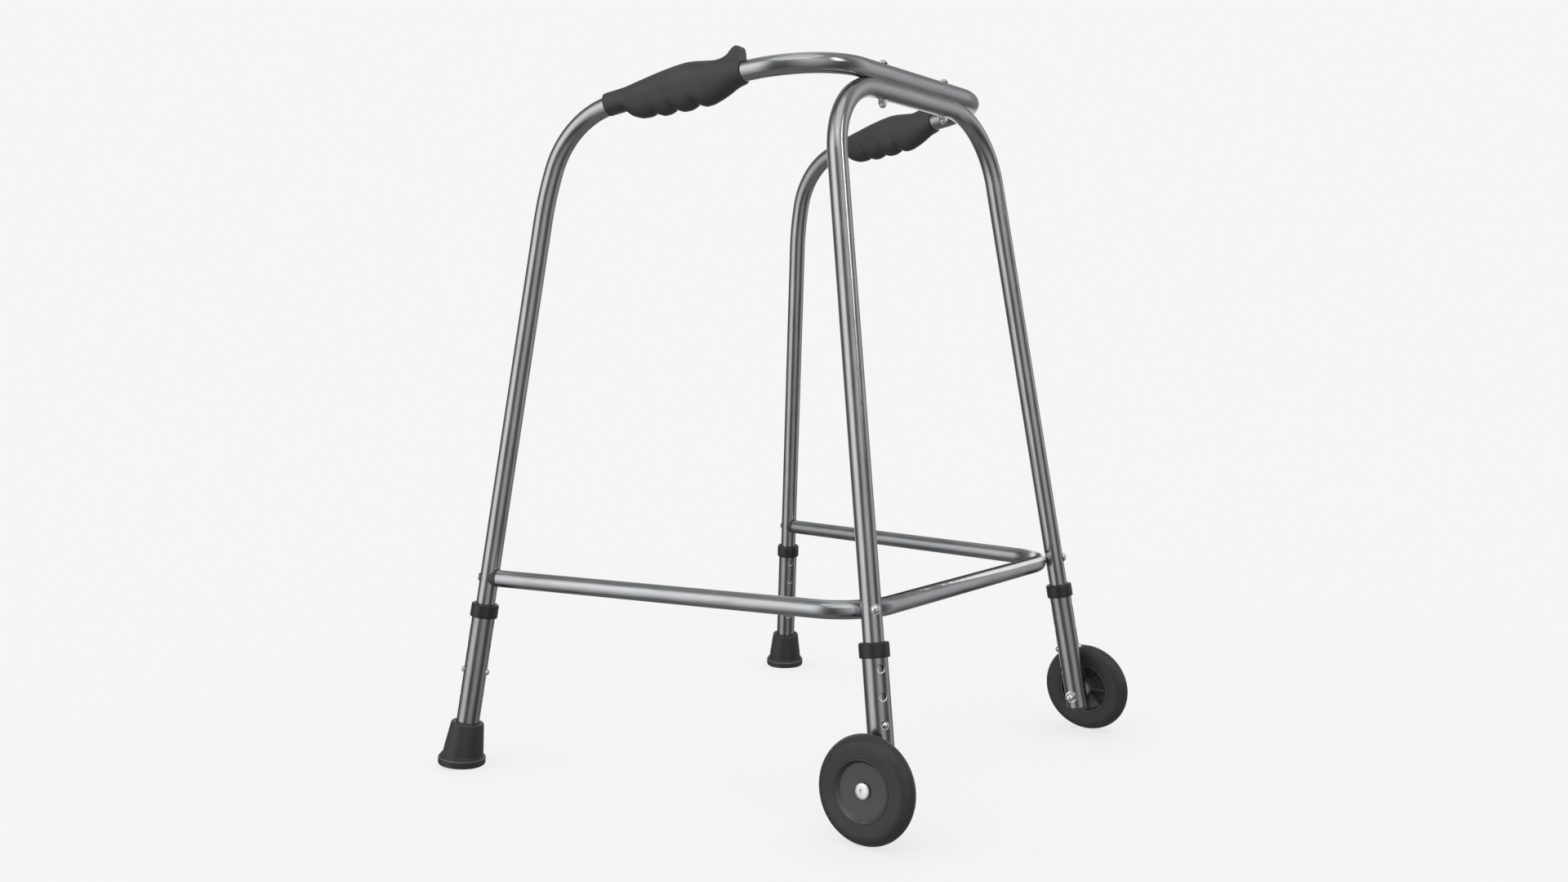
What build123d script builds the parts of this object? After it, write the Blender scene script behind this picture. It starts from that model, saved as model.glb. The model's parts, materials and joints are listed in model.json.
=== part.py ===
from build123d import *
import math
import os
from typing import NamedTuple

# Two-wheeled, height-adjustable walking frame: a handle tube that runs down into both rear
# legs, an inverted U for the front legs, a U-shaped brace low down, telescopic leg sleeves,
# rubber feet at the rear and wheels at the front.
# Floor at z = 0, front towards -Y, the user's left towards +X, x = 0 is the mid-plane.
# All lengths in millimetres, all angles in degrees.

os.makedirs("parts", exist_ok=True)

sides = {"left": 1, "right": -1}        # side name and the sign of its x
gap = 0.05                              # clearance left between touching pieces

# ------------------------------------------------------------------ frame dimensions
frame_radius = 25.0 / 2                 # handle tube and front tube
frame_bore = frame_radius - 1.3
brace_radius = 22.7 / 2
brace_bore = brace_radius - 1.3

# left-hand straight leg lines: (x, y) on the floor, then the first bend vertex
rear_foot = (364.7, 316.5)
rear_bend = (269.3, 214.7, 866.5)
front_foot = (263.0, -293.6)
front_bend = (189.9, -163.1, 880.9)

# handle tube bends
front_corner = (213.3, -163.1, 901.0)
rear_bend_down = 112.4                  # first vertex of the handle bend, down the leg
rear_bend_fore = 163.9                  # last vertex, forward along the handle
rear_bend_mid = 0.11                    # middle vertex, as a share of the two offsets above
rear_bend_radii = (414.0, 114.2, 181.0)
front_corner_radius = 104.1
front_bend_radius = 104.0

brace_height = 251.3
brace_corner = (249.9, -247.65)
brace_corner_radius = 70.2
brace_start = 17.5                      # rear leg line to the end of the metal, past the plug

# ------------------------------------------------------------------ leg dimensions
# stations are measured up the leg line from the floor
sleeve_radius = 30.4 / 2
sleeve_bore = 27.2 / 2
collar_radius = 36.2 / 2
rear_collar = (201.5, 219.6)            # bottom and top of the collar
front_collar = (203.8, 221.5)
collar_lip = 3.5                        # how far the collar stands above its sleeve
rear_sleeve_bottom = 11.0
front_sleeve_bottom = 42.8
rear_tube_end = 79.0
front_tube_end = 81.0
axle_station = 60.17
axle_radius = 4.0

button_station = 128.0
hole_pitch = 31.8
hole_steps = (2, 1, 0, -1)              # sleeve holes, in pitches from the button station
hole_radius = 4.3
front_hole_angle = 32.0                 # hole line turned outwards from straight ahead
rear_hole_angle = -38.0                 # hole line turned inwards from straight ahead

# small hardware
bolt_radius = 3.0
bolt_hole = bolt_radius + 0.2
axle_hole = axle_radius + 0.1
washer_thickness = 1.0
washer_stack = washer_thickness + gap   # washer seat to the face of the head or nut
top_bolt_x = 76.0


# ------------------------------------------------------------------ helpers
def save(builder, name):
    builder.part.label = name
    export_step(builder.part, f"parts/{name}.step")


def square_to(vector, *directions):
    """Unit vector left after removing each (mutually square) direction from vector."""
    for direction in directions:
        vector = vector - direction * vector.dot(direction)
    return vector.normalized()


def axial_plane(origin, radial, axis):
    """Plane for a turned profile: local x is radial, local y runs along the axis."""
    return Plane(origin=origin, x_dir=radial, z_dir=radial.cross(axis))


def outline(*steps):
    """Closed outline in the active line builder. ("arc", mid, end) bulges through mid."""
    here = steps[0]
    for step in steps[1:]:
        if step[0] == "arc":
            ThreePointArc(here, step[1], step[2])
            here = step[2]
        else:
            Line(here, step)
            here = step
    Line(here, steps[0])


def cap(radius, rim, crown):
    """Arc step from (radius, rim) to the axis at height crown: a spherical cap."""
    rise = abs(crown - rim)
    sphere = (radius * radius + rise * rise) / (2 * rise)
    half = math.asin(min(1.0, radius / sphere)) / 2
    sign = 1 if crown > rim else -1
    middle = (sphere * math.sin(half), crown - sign * sphere * (1 - math.cos(half)))
    return ("arc", middle, (0, crown))


def swept_bar(points, bend_radii, radius, bore=None):
    """Round bar, or tube when a bore radius is given, along a polyline with rounded bends."""
    with BuildPart() as bar:
        with BuildLine():
            FilletPolyline(*points, radius=bend_radii)
        with BuildSketch(Plane(origin=points[0], z_dir=points[1] - points[0])):
            Circle(radius)
            if bore:
                Circle(bore, mode=Mode.SUBTRACT)
        sweep()
    return bar.part


# ------------------------------------------------------------------ leg lines
class Leg:
    """A straight leg line: up the leg, along its adjustment holes, outwards along the axle."""

    def __init__(self, end, side, foot, top, hole_angle, sleeve_bottom, collar):
        sign = sides[side]
        self.end = end
        self.name = f"{end}_{side}"
        self.sleeve_bottom = sleeve_bottom
        self.collar_bottom, self.collar_top = collar
        self.sleeve_top = self.collar_top - collar_lip
        self.foot = Vector(sign * foot[0], foot[1], 0)
        self.up = (Vector(sign * top[0], top[1], top[2]) - self.foot).normalized()
        ahead = square_to(Vector(0, -1, 0), self.up)
        outward = square_to(Vector(sign, 0, 0), self.up, ahead)
        angle = math.radians(hole_angle)
        self.hole_dir = ahead * math.cos(angle) + outward * math.sin(angle)
        self.axle_dir = Vector(sign * abs(self.up.Z), 0, abs(self.up.X)).normalized()

    def at(self, station):
        return self.foot + self.up * station

    def at_height(self, z):
        return self.at(z / self.up.Z)

    def cross_plane(self, station):
        return Plane(origin=self.at(station), x_dir=self.hole_dir, z_dir=self.up)

    def long_plane(self, station=0):
        return axial_plane(self.at(station), self.hole_dir, self.up)

    def axis(self):
        return Axis(self.foot, self.up)


rear = {
    side: Leg("rear", side, rear_foot, rear_bend, rear_hole_angle,
              rear_sleeve_bottom, rear_collar)
    for side in sides
}
front = {
    side: Leg("front", side, front_foot, front_bend, front_hole_angle,
              front_sleeve_bottom, front_collar)
    for side in sides
}


# ------------------------------------------------------------------ tube centre lines
def mirrored(points):
    """A right-to-left path from its left-hand half, listed from the leg inwards."""
    return [Vector(-p.X, p.Y, p.Z) for p in points] + list(reversed(points))


def handle_points(end_station):
    leg = rear["left"]
    bend = Vector(*rear_bend)
    fore = (Vector(*front_corner) - bend).normalized() * rear_bend_fore
    down = leg.up * rear_bend_down
    return mirrored([
        leg.at(end_station),
        bend - down,
        bend + (fore - down) * rear_bend_mid,
        bend + fore,
        Vector(*front_corner),
    ])


handle_path = handle_points(rear_tube_end)
handle_radii = (
    *rear_bend_radii, front_corner_radius,
    front_corner_radius, *reversed(rear_bend_radii),
)
front_path = mirrored([front["left"].at(front_tube_end), Vector(*front_bend)])
front_radii = (front_bend_radius, front_bend_radius)

rear_cross = {side: rear[side].at_height(brace_height) for side in sides}
brace_vertex = {
    side: Vector(sign * brace_corner[0], brace_corner[1], brace_height)
    for side, sign in sides.items()
}
brace_dir = {side: (brace_vertex[side] - rear_cross[side]).normalized() for side in sides}
brace_path = [
    rear_cross["right"] + brace_dir["right"] * brace_start,
    brace_vertex["right"],
    brace_vertex["left"],
    rear_cross["left"] + brace_dir["left"] * brace_start,
]
brace_radii = (brace_corner_radius, brace_corner_radius)


def brace_contact(side):
    """Nearest points of the front leg line and of the brace's rounded corner:
    (distance, point on the leg, point on the brace), found in 0.05 degree steps."""
    leg = front[side]
    to_rear = -brace_dir[side]
    to_middle = Vector(-sides[side], 0, 0)
    half = math.acos(to_rear.dot(to_middle)) / 2
    bisector = (to_rear + to_middle).normalized()
    centre = brace_vertex[side] + bisector * (brace_corner_radius / math.sin(half))
    best = None
    for i in range(-900, 901):
        angle = math.radians(i * 0.05)
        on_brace = centre + Vector(
            -bisector.X * math.cos(angle) + bisector.Y * math.sin(angle),
            -bisector.Y * math.cos(angle) - bisector.X * math.sin(angle),
            0,
        ) * brace_corner_radius
        on_leg = leg.at((on_brace - leg.foot).dot(leg.up))
        distance = (on_leg - on_brace).length
        if best is None or distance < best[0]:
            best = (distance, on_leg, on_brace)
    return best


contact = {side: brace_contact(side) for side in sides}


# ------------------------------------------------------------------ frame tubes
def button_and_brace_holes(legs, brace_holes):
    """Holes as (centre, direction, radius): snap buttons and brace bolt on each side."""
    holes = []
    for side in sides:
        leg = legs[side]
        holes.append((leg.at(button_station), leg.hole_dir, hole_radius))
        holes.append((*brace_holes[side], bolt_hole))
    return holes


def top_holes(y, z):
    return [(Vector(x, y, z), Vector(0, 0, 1), bolt_hole) for x in (top_bolt_x, -top_bolt_x)]


def build_front_tube():
    """Inverted U, bolted under the front run of the handle tube."""
    tube = swept_bar(front_path, front_radii, frame_radius, frame_bore)
    brace_holes = {
        side: (on_leg, on_leg - on_brace)
        for side, (distance, on_leg, on_brace) in contact.items()
    }
    holes = button_and_brace_holes(front, brace_holes) + top_holes(front_bend[1], front_bend[2])
    with BuildPart() as front_tube:
        add(tube)
        for centre, direction, radius in holes:
            with BuildSketch(Plane(origin=centre, z_dir=direction)):
                Circle(radius)
            extrude(amount=20, both=True, mode=Mode.SUBTRACT)
    save(front_tube, "front_tube")


def build_handle_tube():
    """Rear leg, handle, front run, handle, rear leg. A seat is pressed into the underside
    of the front run where the front tube nests, one wall thickness deep in the bore."""
    frame_wall = frame_radius - frame_bore
    seat = swept_bar(front_path, front_radii, frame_radius + gap)
    seat_wall = swept_bar(front_path, front_radii, frame_radius + gap + frame_wall)
    core = swept_bar(handle_points(rear_tube_end - 1), handle_radii, frame_bore)
    bar = swept_bar(handle_path, handle_radii, frame_radius)
    brace_holes = {side: (rear_cross[side], brace_dir[side]) for side in sides}
    holes = button_and_brace_holes(rear, brace_holes)
    holes += top_holes(front_corner[1], front_corner[2])

    with BuildPart() as bore:
        add(core)
        add(seat_wall, mode=Mode.SUBTRACT)

    with BuildPart() as handle_tube:
        add(bar)
        add(seat, mode=Mode.SUBTRACT)
        add(bore.part, mode=Mode.SUBTRACT)
        for centre, direction, radius in holes:
            with BuildSketch(Plane(origin=centre, z_dir=direction)):
                Circle(radius)
            extrude(amount=20, both=True, mode=Mode.SUBTRACT)
    save(handle_tube, "handle_tube")


def build_brace_tube():
    """U-shaped, from one rear leg round behind the front legs to the other."""
    tube = swept_bar(brace_path, brace_radii, brace_radius, brace_bore)
    with BuildPart() as brace_tube:
        add(tube)
        for distance, on_leg, on_brace in contact.values():
            with BuildSketch(Plane(origin=on_brace, z_dir=on_leg - on_brace)):
                Circle(bolt_hole)
            extrude(amount=18, both=True, mode=Mode.SUBTRACT)
    save(brace_tube, "brace_tube")


build_front_tube()
build_handle_tube()
build_brace_tube()

# ------------------------------------------------------------------ hand grips
# stations run forward along the handle from rear_bend; each row is
# (station, centre height, half height, half width)
grip_sections = (
    (78.0, 0.0, 14.4, 14.4),
    (104.0, 0.0, 14.9, 14.9),
    (118.0, -4.0, 19.5, 16.4),
    (148.0, -6.4, 25.4, 18.2),
    (180.0, -4.0, 28.0, 19.2),
    (210.0, -3.4, 28.0, 19.0),
    (240.0, -4.6, 25.4, 18.0),
    (262.0, 0.4, 21.8, 16.6),
    (279.0, 1.6, 17.0, 15.6),
)
# thumb stop seen from the side: (station, height above the straight handle line)
thumb_stop_profile = (
    (244.0, 12.0), (251.0, 20.6), (257.0, 23.6), (263.0, 26.6), (270.0, 30.8),
    (276.0, 31.6), (279.0, 30.6), (279.0, 10.0), (244.0, 10.0),
)
thumb_stop_half_width = 10.5

handle_envelope = swept_bar(handle_path, handle_radii, frame_radius + gap)
with BuildLine(mode=Mode.PRIVATE) as handle_line:
    FilletPolyline(*handle_path, radius=handle_radii)
handle_wire = handle_line.wire()


def handle_station(side, origin, forward, station):
    """Point and forward tangent of the handle's centre line abreast of a station."""
    low, high = (0.0, 0.5) if side == "right" else (0.5, 1.0)
    for _ in range(60):
        middle = (low + high) / 2
        point = handle_wire @ middle
        on_leg = point.Z < rear_bend[2] - 60 and point.Y > 0
        behind = on_leg or (point - origin).dot(forward) < station
        # the wire runs forward on the right side and back on the left
        if behind == (side == "right"):
            low = middle
        else:
            high = middle
    middle = (low + high) / 2
    tangent = handle_wire % middle
    if tangent.dot(forward) < 0:
        tangent = -tangent
    return handle_wire @ middle, tangent


def build_grip(side):
    sign = sides[side]
    origin = Vector(sign * rear_bend[0], rear_bend[1], rear_bend[2])
    corner = Vector(sign * front_corner[0], front_corner[1], front_corner[2])
    forward = (corner - origin).normalized()
    up = square_to(Vector(0, 0, 1), forward)
    with BuildPart() as grip:
        for station, rise, half_height, half_width in grip_sections:
            centre, tangent = handle_station(side, origin, forward, station)
            normal = square_to(up, tangent)
            with BuildSketch(Plane(
                origin=centre + normal * rise, x_dir=normal.cross(tangent), z_dir=tangent,
            )):
                Ellipse(half_width, half_height)
        loft()
        # thumb stop on top, at the front
        with BuildSketch(axial_plane(origin, forward, up)):
            with BuildLine():
                Polyline(*thumb_stop_profile, close=True)
            make_face()
        extrude(amount=thumb_stop_half_width, both=True)
        add(handle_envelope, mode=Mode.SUBTRACT)
    save(grip, f"{side}_grip")


for side in sides:
    build_grip(side)


# ------------------------------------------------------------------ bolts, washers, nuts
class BoltLine(NamedTuple):
    """Where one bolt sits. Stations run from the origin along the axis, towards the head."""
    origin: Vector
    axis: Vector
    radial: Vector              # square to the axis, where the turned profiles are drawn
    head_face: float            # underside of the head
    nut_face: float             # face of the nut nearest the head
    tail: float                 # free end of the shank
    washers: tuple              # nut-side face of each washer


class Head(NamedTuple):
    """Domed bolt head with a hexagon socket; heights above the underside."""
    radius: float
    rim: float
    crown: float
    socket_radius: float
    socket_floor: float


class Nut(NamedTuple):
    """Domed nut; heights measured from the nut face towards the dome."""
    hex_radius: float
    hex_height: float
    dome_radius: float
    dome_base: float
    dome_rim: float
    crown: float
    bore_radius: float
    bore_depth: float


top_head = Head(radius=5.25, rim=0.75, crown=3.65, socket_radius=1.9, socket_floor=1.55)
brace_head = Head(radius=5.25, rim=0.8, crown=3.7, socket_radius=1.9, socket_floor=1.6)
axle_head = Head(radius=9.6, rim=0.9, crown=2.8, socket_radius=2.9, socket_floor=0.9)
small_nut = Nut(
    hex_radius=5.6, hex_height=4.6, dome_radius=4.5, dome_base=4.4, dome_rim=5.4,
    crown=9.3, bore_radius=bolt_radius + 0.05, bore_depth=6.8,
)
axle_nut = Nut(
    hex_radius=7.2, hex_height=4.8, dome_radius=5.9, dome_base=4.6, dome_rim=5.6,
    crown=10.2, bore_radius=axle_radius + 0.05, bore_depth=6.6,
)


def build_bolts(name, lines, head, shank=bolt_radius):
    with BuildPart() as bolts:
        for line in lines:
            face = line.head_face
            rim = face + head.rim
            with BuildSketch(axial_plane(line.origin, line.radial, line.axis)):
                with BuildLine():
                    outline(
                        (0, line.tail), (shank, line.tail), (shank, face),
                        (head.radius, face), (head.radius, rim),
                        cap(head.radius, rim, face + head.crown),
                    )
                make_face()
            revolve(axis=Axis(line.origin, line.axis))
            floor = line.origin + line.axis * (face + head.socket_floor)
            with BuildSketch(Plane(origin=floor, z_dir=line.axis)):
                RegularPolygon(head.socket_radius, 6)
            extrude(amount=4, mode=Mode.SUBTRACT)
    save(bolts, name)


def build_washers(name, lines, radius=6.2, hole=bolt_hole):
    with BuildPart() as washers:
        for line in lines:
            for station in line.washers:
                with BuildSketch(Plane(
                    origin=line.origin + line.axis * station, z_dir=line.axis,
                )):
                    Circle(radius)
                    Circle(hole, mode=Mode.SUBTRACT)
                extrude(amount=washer_thickness)
    save(washers, name)


def build_domed_nuts(name, lines, nut):
    with BuildPart() as nuts:
        for line in lines:
            outward = -line.axis
            face = line.origin + line.axis * line.nut_face
            with BuildSketch(Plane(origin=face, z_dir=outward)):
                RegularPolygon(nut.hex_radius, 6)
            extrude(amount=nut.hex_height)
            with BuildSketch(axial_plane(face, line.radial, outward)):
                with BuildLine():
                    outline(
                        (0, nut.dome_base), (nut.dome_radius, nut.dome_base),
                        (nut.dome_radius, nut.dome_rim),
                        cap(nut.dome_radius, nut.dome_rim, nut.crown),
                    )
                make_face()
            revolve(axis=Axis(face, outward))
            with BuildSketch(Plane(origin=face, z_dir=outward)):
                Circle(nut.bore_radius)
            extrude(amount=nut.bore_depth, mode=Mode.SUBTRACT)
    save(nuts, name)


# ------------------------------------------------------------------ top joint hardware
top_seat = front_corner[2] + frame_radius + gap         # washer seat on the handle tube
low_seat = front_bend[2] - frame_radius - gap           # washer seat under the front tube
top_lines = [
    BoltLine(
        origin=Vector(x, front_corner[1], 0),
        axis=Vector(0, 0, 1),
        radial=Vector(1, 0, 0),
        head_face=top_seat + washer_stack,
        nut_face=low_seat - washer_stack,
        tail=low_seat - 7.4,
        washers=(top_seat, low_seat - washer_thickness),
    )
    for x in (top_bolt_x, -top_bolt_x)
]
build_bolts("top_joint_bolts", top_lines, top_head)
build_washers("top_joint_washers", top_lines)
build_domed_nuts("top_joint_nuts", top_lines, small_nut)

# ------------------------------------------------------------------ brace to rear leg joints
# distances from the rear leg line, forward along the brace
plug_end = 45.0
pocket_start = 39.6             # hexagon pocket for the nut, in the front end of the plug
rear_seat = 13.5                # backward to the washer: clears the leg, which leans under it

rear_lines = [
    BoltLine(
        origin=rear_cross[side],
        axis=-brace_dir[side],
        radial=Vector(0, 0, 1),
        head_face=rear_seat + washer_stack,
        nut_face=-(pocket_start + gap),
        tail=-(pocket_start + 5.2),
        washers=(rear_seat,),
    )
    for side in sides
]


def build_brace_end_plugs():
    """Plastic end plugs: saddle against the leg, collar, spigot inside the brace tube."""
    spigot_start = brace_start - 1
    with BuildPart() as plugs:
        for side in sides:
            origin = rear_cross[side]
            along = brace_dir[side]
            with BuildSketch(Plane(origin=origin, z_dir=along)):
                Circle(brace_radius)
            extrude(amount=brace_start - gap)
            with BuildSketch(Plane(origin=origin + along * spigot_start, z_dir=along)):
                Circle(brace_bore - gap)
            extrude(amount=plug_end - spigot_start)
            # bolt hole and nut pocket
            with BuildSketch(Plane(origin=origin, z_dir=along)):
                Circle(bolt_hole)
            extrude(amount=plug_end + 5, mode=Mode.SUBTRACT)
            with BuildSketch(Plane(origin=origin + along * pocket_start, z_dir=along)):
                RegularPolygon(5.9, 6)
            extrude(amount=10, mode=Mode.SUBTRACT)
            # saddle
            with BuildSketch(Plane(origin=rear[side].at(200), z_dir=rear[side].up)):
                Circle(frame_radius + gap)
            extrude(amount=120, mode=Mode.SUBTRACT)
    save(plugs, "brace_end_plugs")


def build_brace_end_nuts():
    """Plain hexagon nuts in the plug pockets."""
    with BuildPart() as nuts:
        for line in rear_lines:
            face = line.origin + line.axis * line.nut_face
            with BuildSketch(Plane(origin=face, z_dir=-line.axis)):
                RegularPolygon(5.75, 6)
                Circle(bolt_radius + 0.05, mode=Mode.SUBTRACT)
            extrude(amount=4.8)
    save(nuts, "brace_end_nuts")


build_brace_end_plugs()
build_bolts("brace_end_bolts", rear_lines, brace_head)
build_washers("brace_end_washers", rear_lines)
build_brace_end_nuts()

# ------------------------------------------------------------------ brace to front leg joints
inner_seat = 0.4                # washer stand-off on the hollow side of the brace corner


def front_line(side):
    distance, on_leg, on_brace = contact[side]
    axis = (on_leg - on_brace).normalized()
    leg_seat = frame_radius + gap
    brace_seat = -(distance + brace_radius + inner_seat)
    return BoltLine(
        origin=on_leg,
        axis=axis,
        radial=square_to(front[side].up, axis),
        head_face=leg_seat + washer_stack,
        nut_face=brace_seat - washer_stack,
        tail=brace_seat - washer_stack - 6.4,
        washers=(leg_seat, brace_seat - washer_thickness),
    )


front_lines = [front_line(side) for side in sides]
build_bolts("brace_front_bolts", front_lines, brace_head)
build_washers("brace_front_washers", front_lines)
build_domed_nuts("brace_front_nuts", front_lines, small_nut)

# ------------------------------------------------------------------ leg sleeves and collars


def build_sleeve(leg):
    with BuildPart() as sleeve:
        with BuildSketch(leg.cross_plane(leg.sleeve_bottom)):
            Circle(sleeve_radius)
            Circle(sleeve_bore, mode=Mode.SUBTRACT)
        extrude(amount=leg.sleeve_top - leg.sleeve_bottom)
        for k in hole_steps:
            centre = leg.at(button_station + k * hole_pitch)
            with BuildSketch(Plane(origin=centre, z_dir=leg.hole_dir)):
                Circle(hole_radius)
            extrude(amount=20, both=True, mode=Mode.SUBTRACT)
        if leg.end == "front":
            with BuildSketch(Plane(origin=leg.at(axle_station), z_dir=leg.axle_dir)):
                Circle(axle_hole)
            extrude(amount=20, both=True, mode=Mode.SUBTRACT)
    save(sleeve, f"{leg.name}_leg_sleeve")


def build_collar(leg):
    """Cap-shaped: skirt outside the sleeve, guide bush between sleeve and frame tube."""
    bottom, top = leg.collar_bottom, leg.collar_top
    bush_inner = frame_radius + 0.08
    bush_outer = sleeve_bore - gap
    skirt_inner = sleeve_radius + gap
    seat = leg.sleeve_top + gap
    with BuildPart() as collar:
        with BuildSketch(leg.long_plane()):
            with BuildLine():
                Polyline(
                    (bush_inner, bottom - 4), (bush_outer, bottom - 4),
                    (bush_outer, seat), (skirt_inner, seat),
                    (skirt_inner, bottom), (collar_radius - 0.5, bottom),
                    (collar_radius, bottom + 0.6), (collar_radius, top - 1.4),
                    (collar_radius - 1.4, top), (frame_radius + 1.2, top),
                    (bush_inner, top - 1.2),
                    close=True,
                )
            make_face()
        revolve(axis=leg.axis())
    save(collar, f"{leg.name}_leg_collar")


# snap buttons: distances from the leg line
button_radius = 4.0
button_tip = 18.7
button_rim = button_tip - 2.2           # where the rounded tip starts
button_flange_radius = 5.2
button_flange = (8.75, 9.75)            # inner and outer face of the flange

# spring strip: heights from the button station
strip_width = 7.6
strip_outer = 8.65                      # leg line to the strip's outer face
strip_inner = strip_outer - 0.8
strip_top = 7.0
strip_bend = -22.0                      # centre of the half-round bend


def build_button(leg, face, sign):
    out = leg.hole_dir * sign
    origin = leg.at(button_station)
    flange_in, flange_out = button_flange
    with BuildPart() as button:
        with BuildSketch(axial_plane(origin, leg.up, out)):
            with BuildLine():
                outline(
                    (0, flange_in), (button_flange_radius, flange_in),
                    (button_flange_radius, flange_out), (button_radius, flange_out),
                    (button_radius, button_rim),
                    cap(button_radius, button_rim, button_tip),
                )
            make_face()
        revolve(axis=Axis(origin, out))
    save(button, f"{leg.name}_button_{face}")


def build_button_spring(leg):
    """U-shaped strip that holds the two buttons out."""
    with BuildPart() as strip:
        with BuildSketch(leg.long_plane(button_station)):
            with BuildLine():
                outline(
                    (strip_outer, strip_top), (strip_outer, strip_bend),
                    ("arc", (0, strip_bend - strip_outer), (-strip_outer, strip_bend)),
                    (-strip_outer, strip_top), (-strip_inner, strip_top),
                    (-strip_inner, strip_bend),
                    ("arc", (0, strip_bend - strip_inner), (strip_inner, strip_bend)),
                    (strip_inner, strip_top),
                )
            make_face()
        extrude(amount=strip_width / 2, both=True)
    save(strip, f"{leg.name}_button_spring")


for leg in (*rear.values(), *front.values()):
    build_sleeve(leg)
    build_collar(leg)
    build_button(leg, "front", 1)
    build_button(leg, "rear", -1)
    build_button_spring(leg)

# ------------------------------------------------------------------ rear ferrules
ferrule_foot_radius = 31.2
ferrule_sink = 1.2              # how far the soft foot is pressed flat on the floor
disc_thickness = 1.6            # steel disc under the sleeve

# foot: wide disc with a stepped shoulder, (radius, height above its base)
ferrule_foot_outline = (
    (0, 0), (29.4, 0), ("arc", (30.7, 0.6), (ferrule_foot_radius, 2.0)), (31.4, 8.6),
    ("arc", (31.0, 9.7), (30.0, 10.2)), (29.2, 10.4), (29.0, 12.0),
    ("arc", (28.6, 12.9), (27.6, 13.3)), (26.0, 15.0), (0, 15.0),
)
# tapered body: (radius, leg station)
ferrule_body_outline = (
    (0, 8.0), (27.6, 12.0), (26.9, 17.0), (21.8, 56.2),
    ("arc", (21.3, 57.5), (19.9, 58.0)), (16.6, 58.0), (16.0, 57.2), (0, 57.2),
)
tread_grooves = ((26.0, 23.6), (18.6, 16.2), (11.2, 8.8))      # outer and inner radius


def build_ferrule(side):
    leg = rear[side]
    # the foot's axis lies halfway between the leg line and the floor's normal
    normal = (leg.up + Vector(0, 0, 1)).normalized()
    tilt = math.acos(normal.Z)
    base = leg.at_height(ferrule_foot_radius * math.sin(tilt) - ferrule_sink)
    with BuildPart() as ferrule:
        with BuildSketch(axial_plane(base, square_to(leg.hole_dir, normal), normal)):
            with BuildLine():
                outline(*ferrule_foot_outline)
            make_face()
        revolve(axis=Axis(base, normal))
        # body, coaxial with the leg
        with BuildSketch(leg.long_plane()):
            with BuildLine():
                outline(*ferrule_body_outline)
            make_face()
        revolve(axis=leg.axis())
        # socket for the sleeve and its steel disc
        with BuildSketch(leg.cross_plane(rear_sleeve_bottom - disc_thickness - 2 * gap)):
            Circle(sleeve_radius + gap)
        extrude(amount=60, mode=Mode.SUBTRACT)
        # ring grooves in the tread
        for outer, inner in tread_grooves:
            with BuildSketch(Plane(origin=base - normal * 2, z_dir=normal)):
                Circle(outer)
                Circle(inner, mode=Mode.SUBTRACT)
            extrude(amount=3.6, mode=Mode.SUBTRACT)
        # everything below the floor
        with BuildSketch(Plane(origin=leg.foot)):
            Rectangle(120, 120)
        extrude(amount=-10, mode=Mode.SUBTRACT)
    save(ferrule, f"{side}_ferrule")


def build_ferrule_disc(side):
    with BuildPart() as disc:
        with BuildSketch(rear[side].cross_plane(rear_sleeve_bottom - disc_thickness - gap)):
            Circle(sleeve_radius - 0.2)
        extrude(amount=disc_thickness)
    save(disc, f"{side}_ferrule_disc")


for side in sides:
    build_ferrule(side)
    build_ferrule_disc(side)

# ------------------------------------------------------------------ front wheels
wheel_radius = 62.5
wheel_offset = 36.8             # leg line to wheel mid-plane, along the axle
tyre_half_width = 13.0
rim_radius = 36.0               # tyre inside, hub outside
hub_bore = 6.1
hub_inner_face = -12.6          # from the wheel mid-plane, outwards positive
hub_outer_face = 7.4
rib_count = 8
plug_foot = 5.2                 # how far the front leg's plug stands out below its sleeve

# (radius, distance outwards from the wheel mid-plane)
tyre_outline = (
    (rim_radius, -11.2), (38.0, -12.2), (50.0, -tyre_half_width),
    ("arc", (58.6, -9.6), (wheel_radius, 0)),
    ("arc", (58.6, 9.6), (50.0, tyre_half_width)),
    (38.0, 12.2), (rim_radius, 11.2),
)
hub_outline = (
    (hub_bore, hub_inner_face), (12.0, hub_inner_face), (12.8, -2.0), (31.6, -2.0),
    (33.4, -11.8), (rim_radius - gap, -11.8), (rim_radius - gap, 11.8), (34.6, 12.0),
    (33.8, 11.5), (32.0, 8.1), (31.0, hub_outer_face), (hub_bore, hub_outer_face),
)


def wheel_centre(leg):
    return leg.at(axle_station) + leg.axle_dir * wheel_offset


def build_tyre(side, leg):
    centre = wheel_centre(leg)
    with BuildPart() as tyre:
        with BuildSketch(axial_plane(centre, leg.up, leg.axle_dir)):
            with BuildLine():
                outline(*tyre_outline)
            make_face()
        revolve(axis=Axis(centre, leg.axle_dir))
    save(tyre, f"{side}_wheel_tyre")


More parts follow.
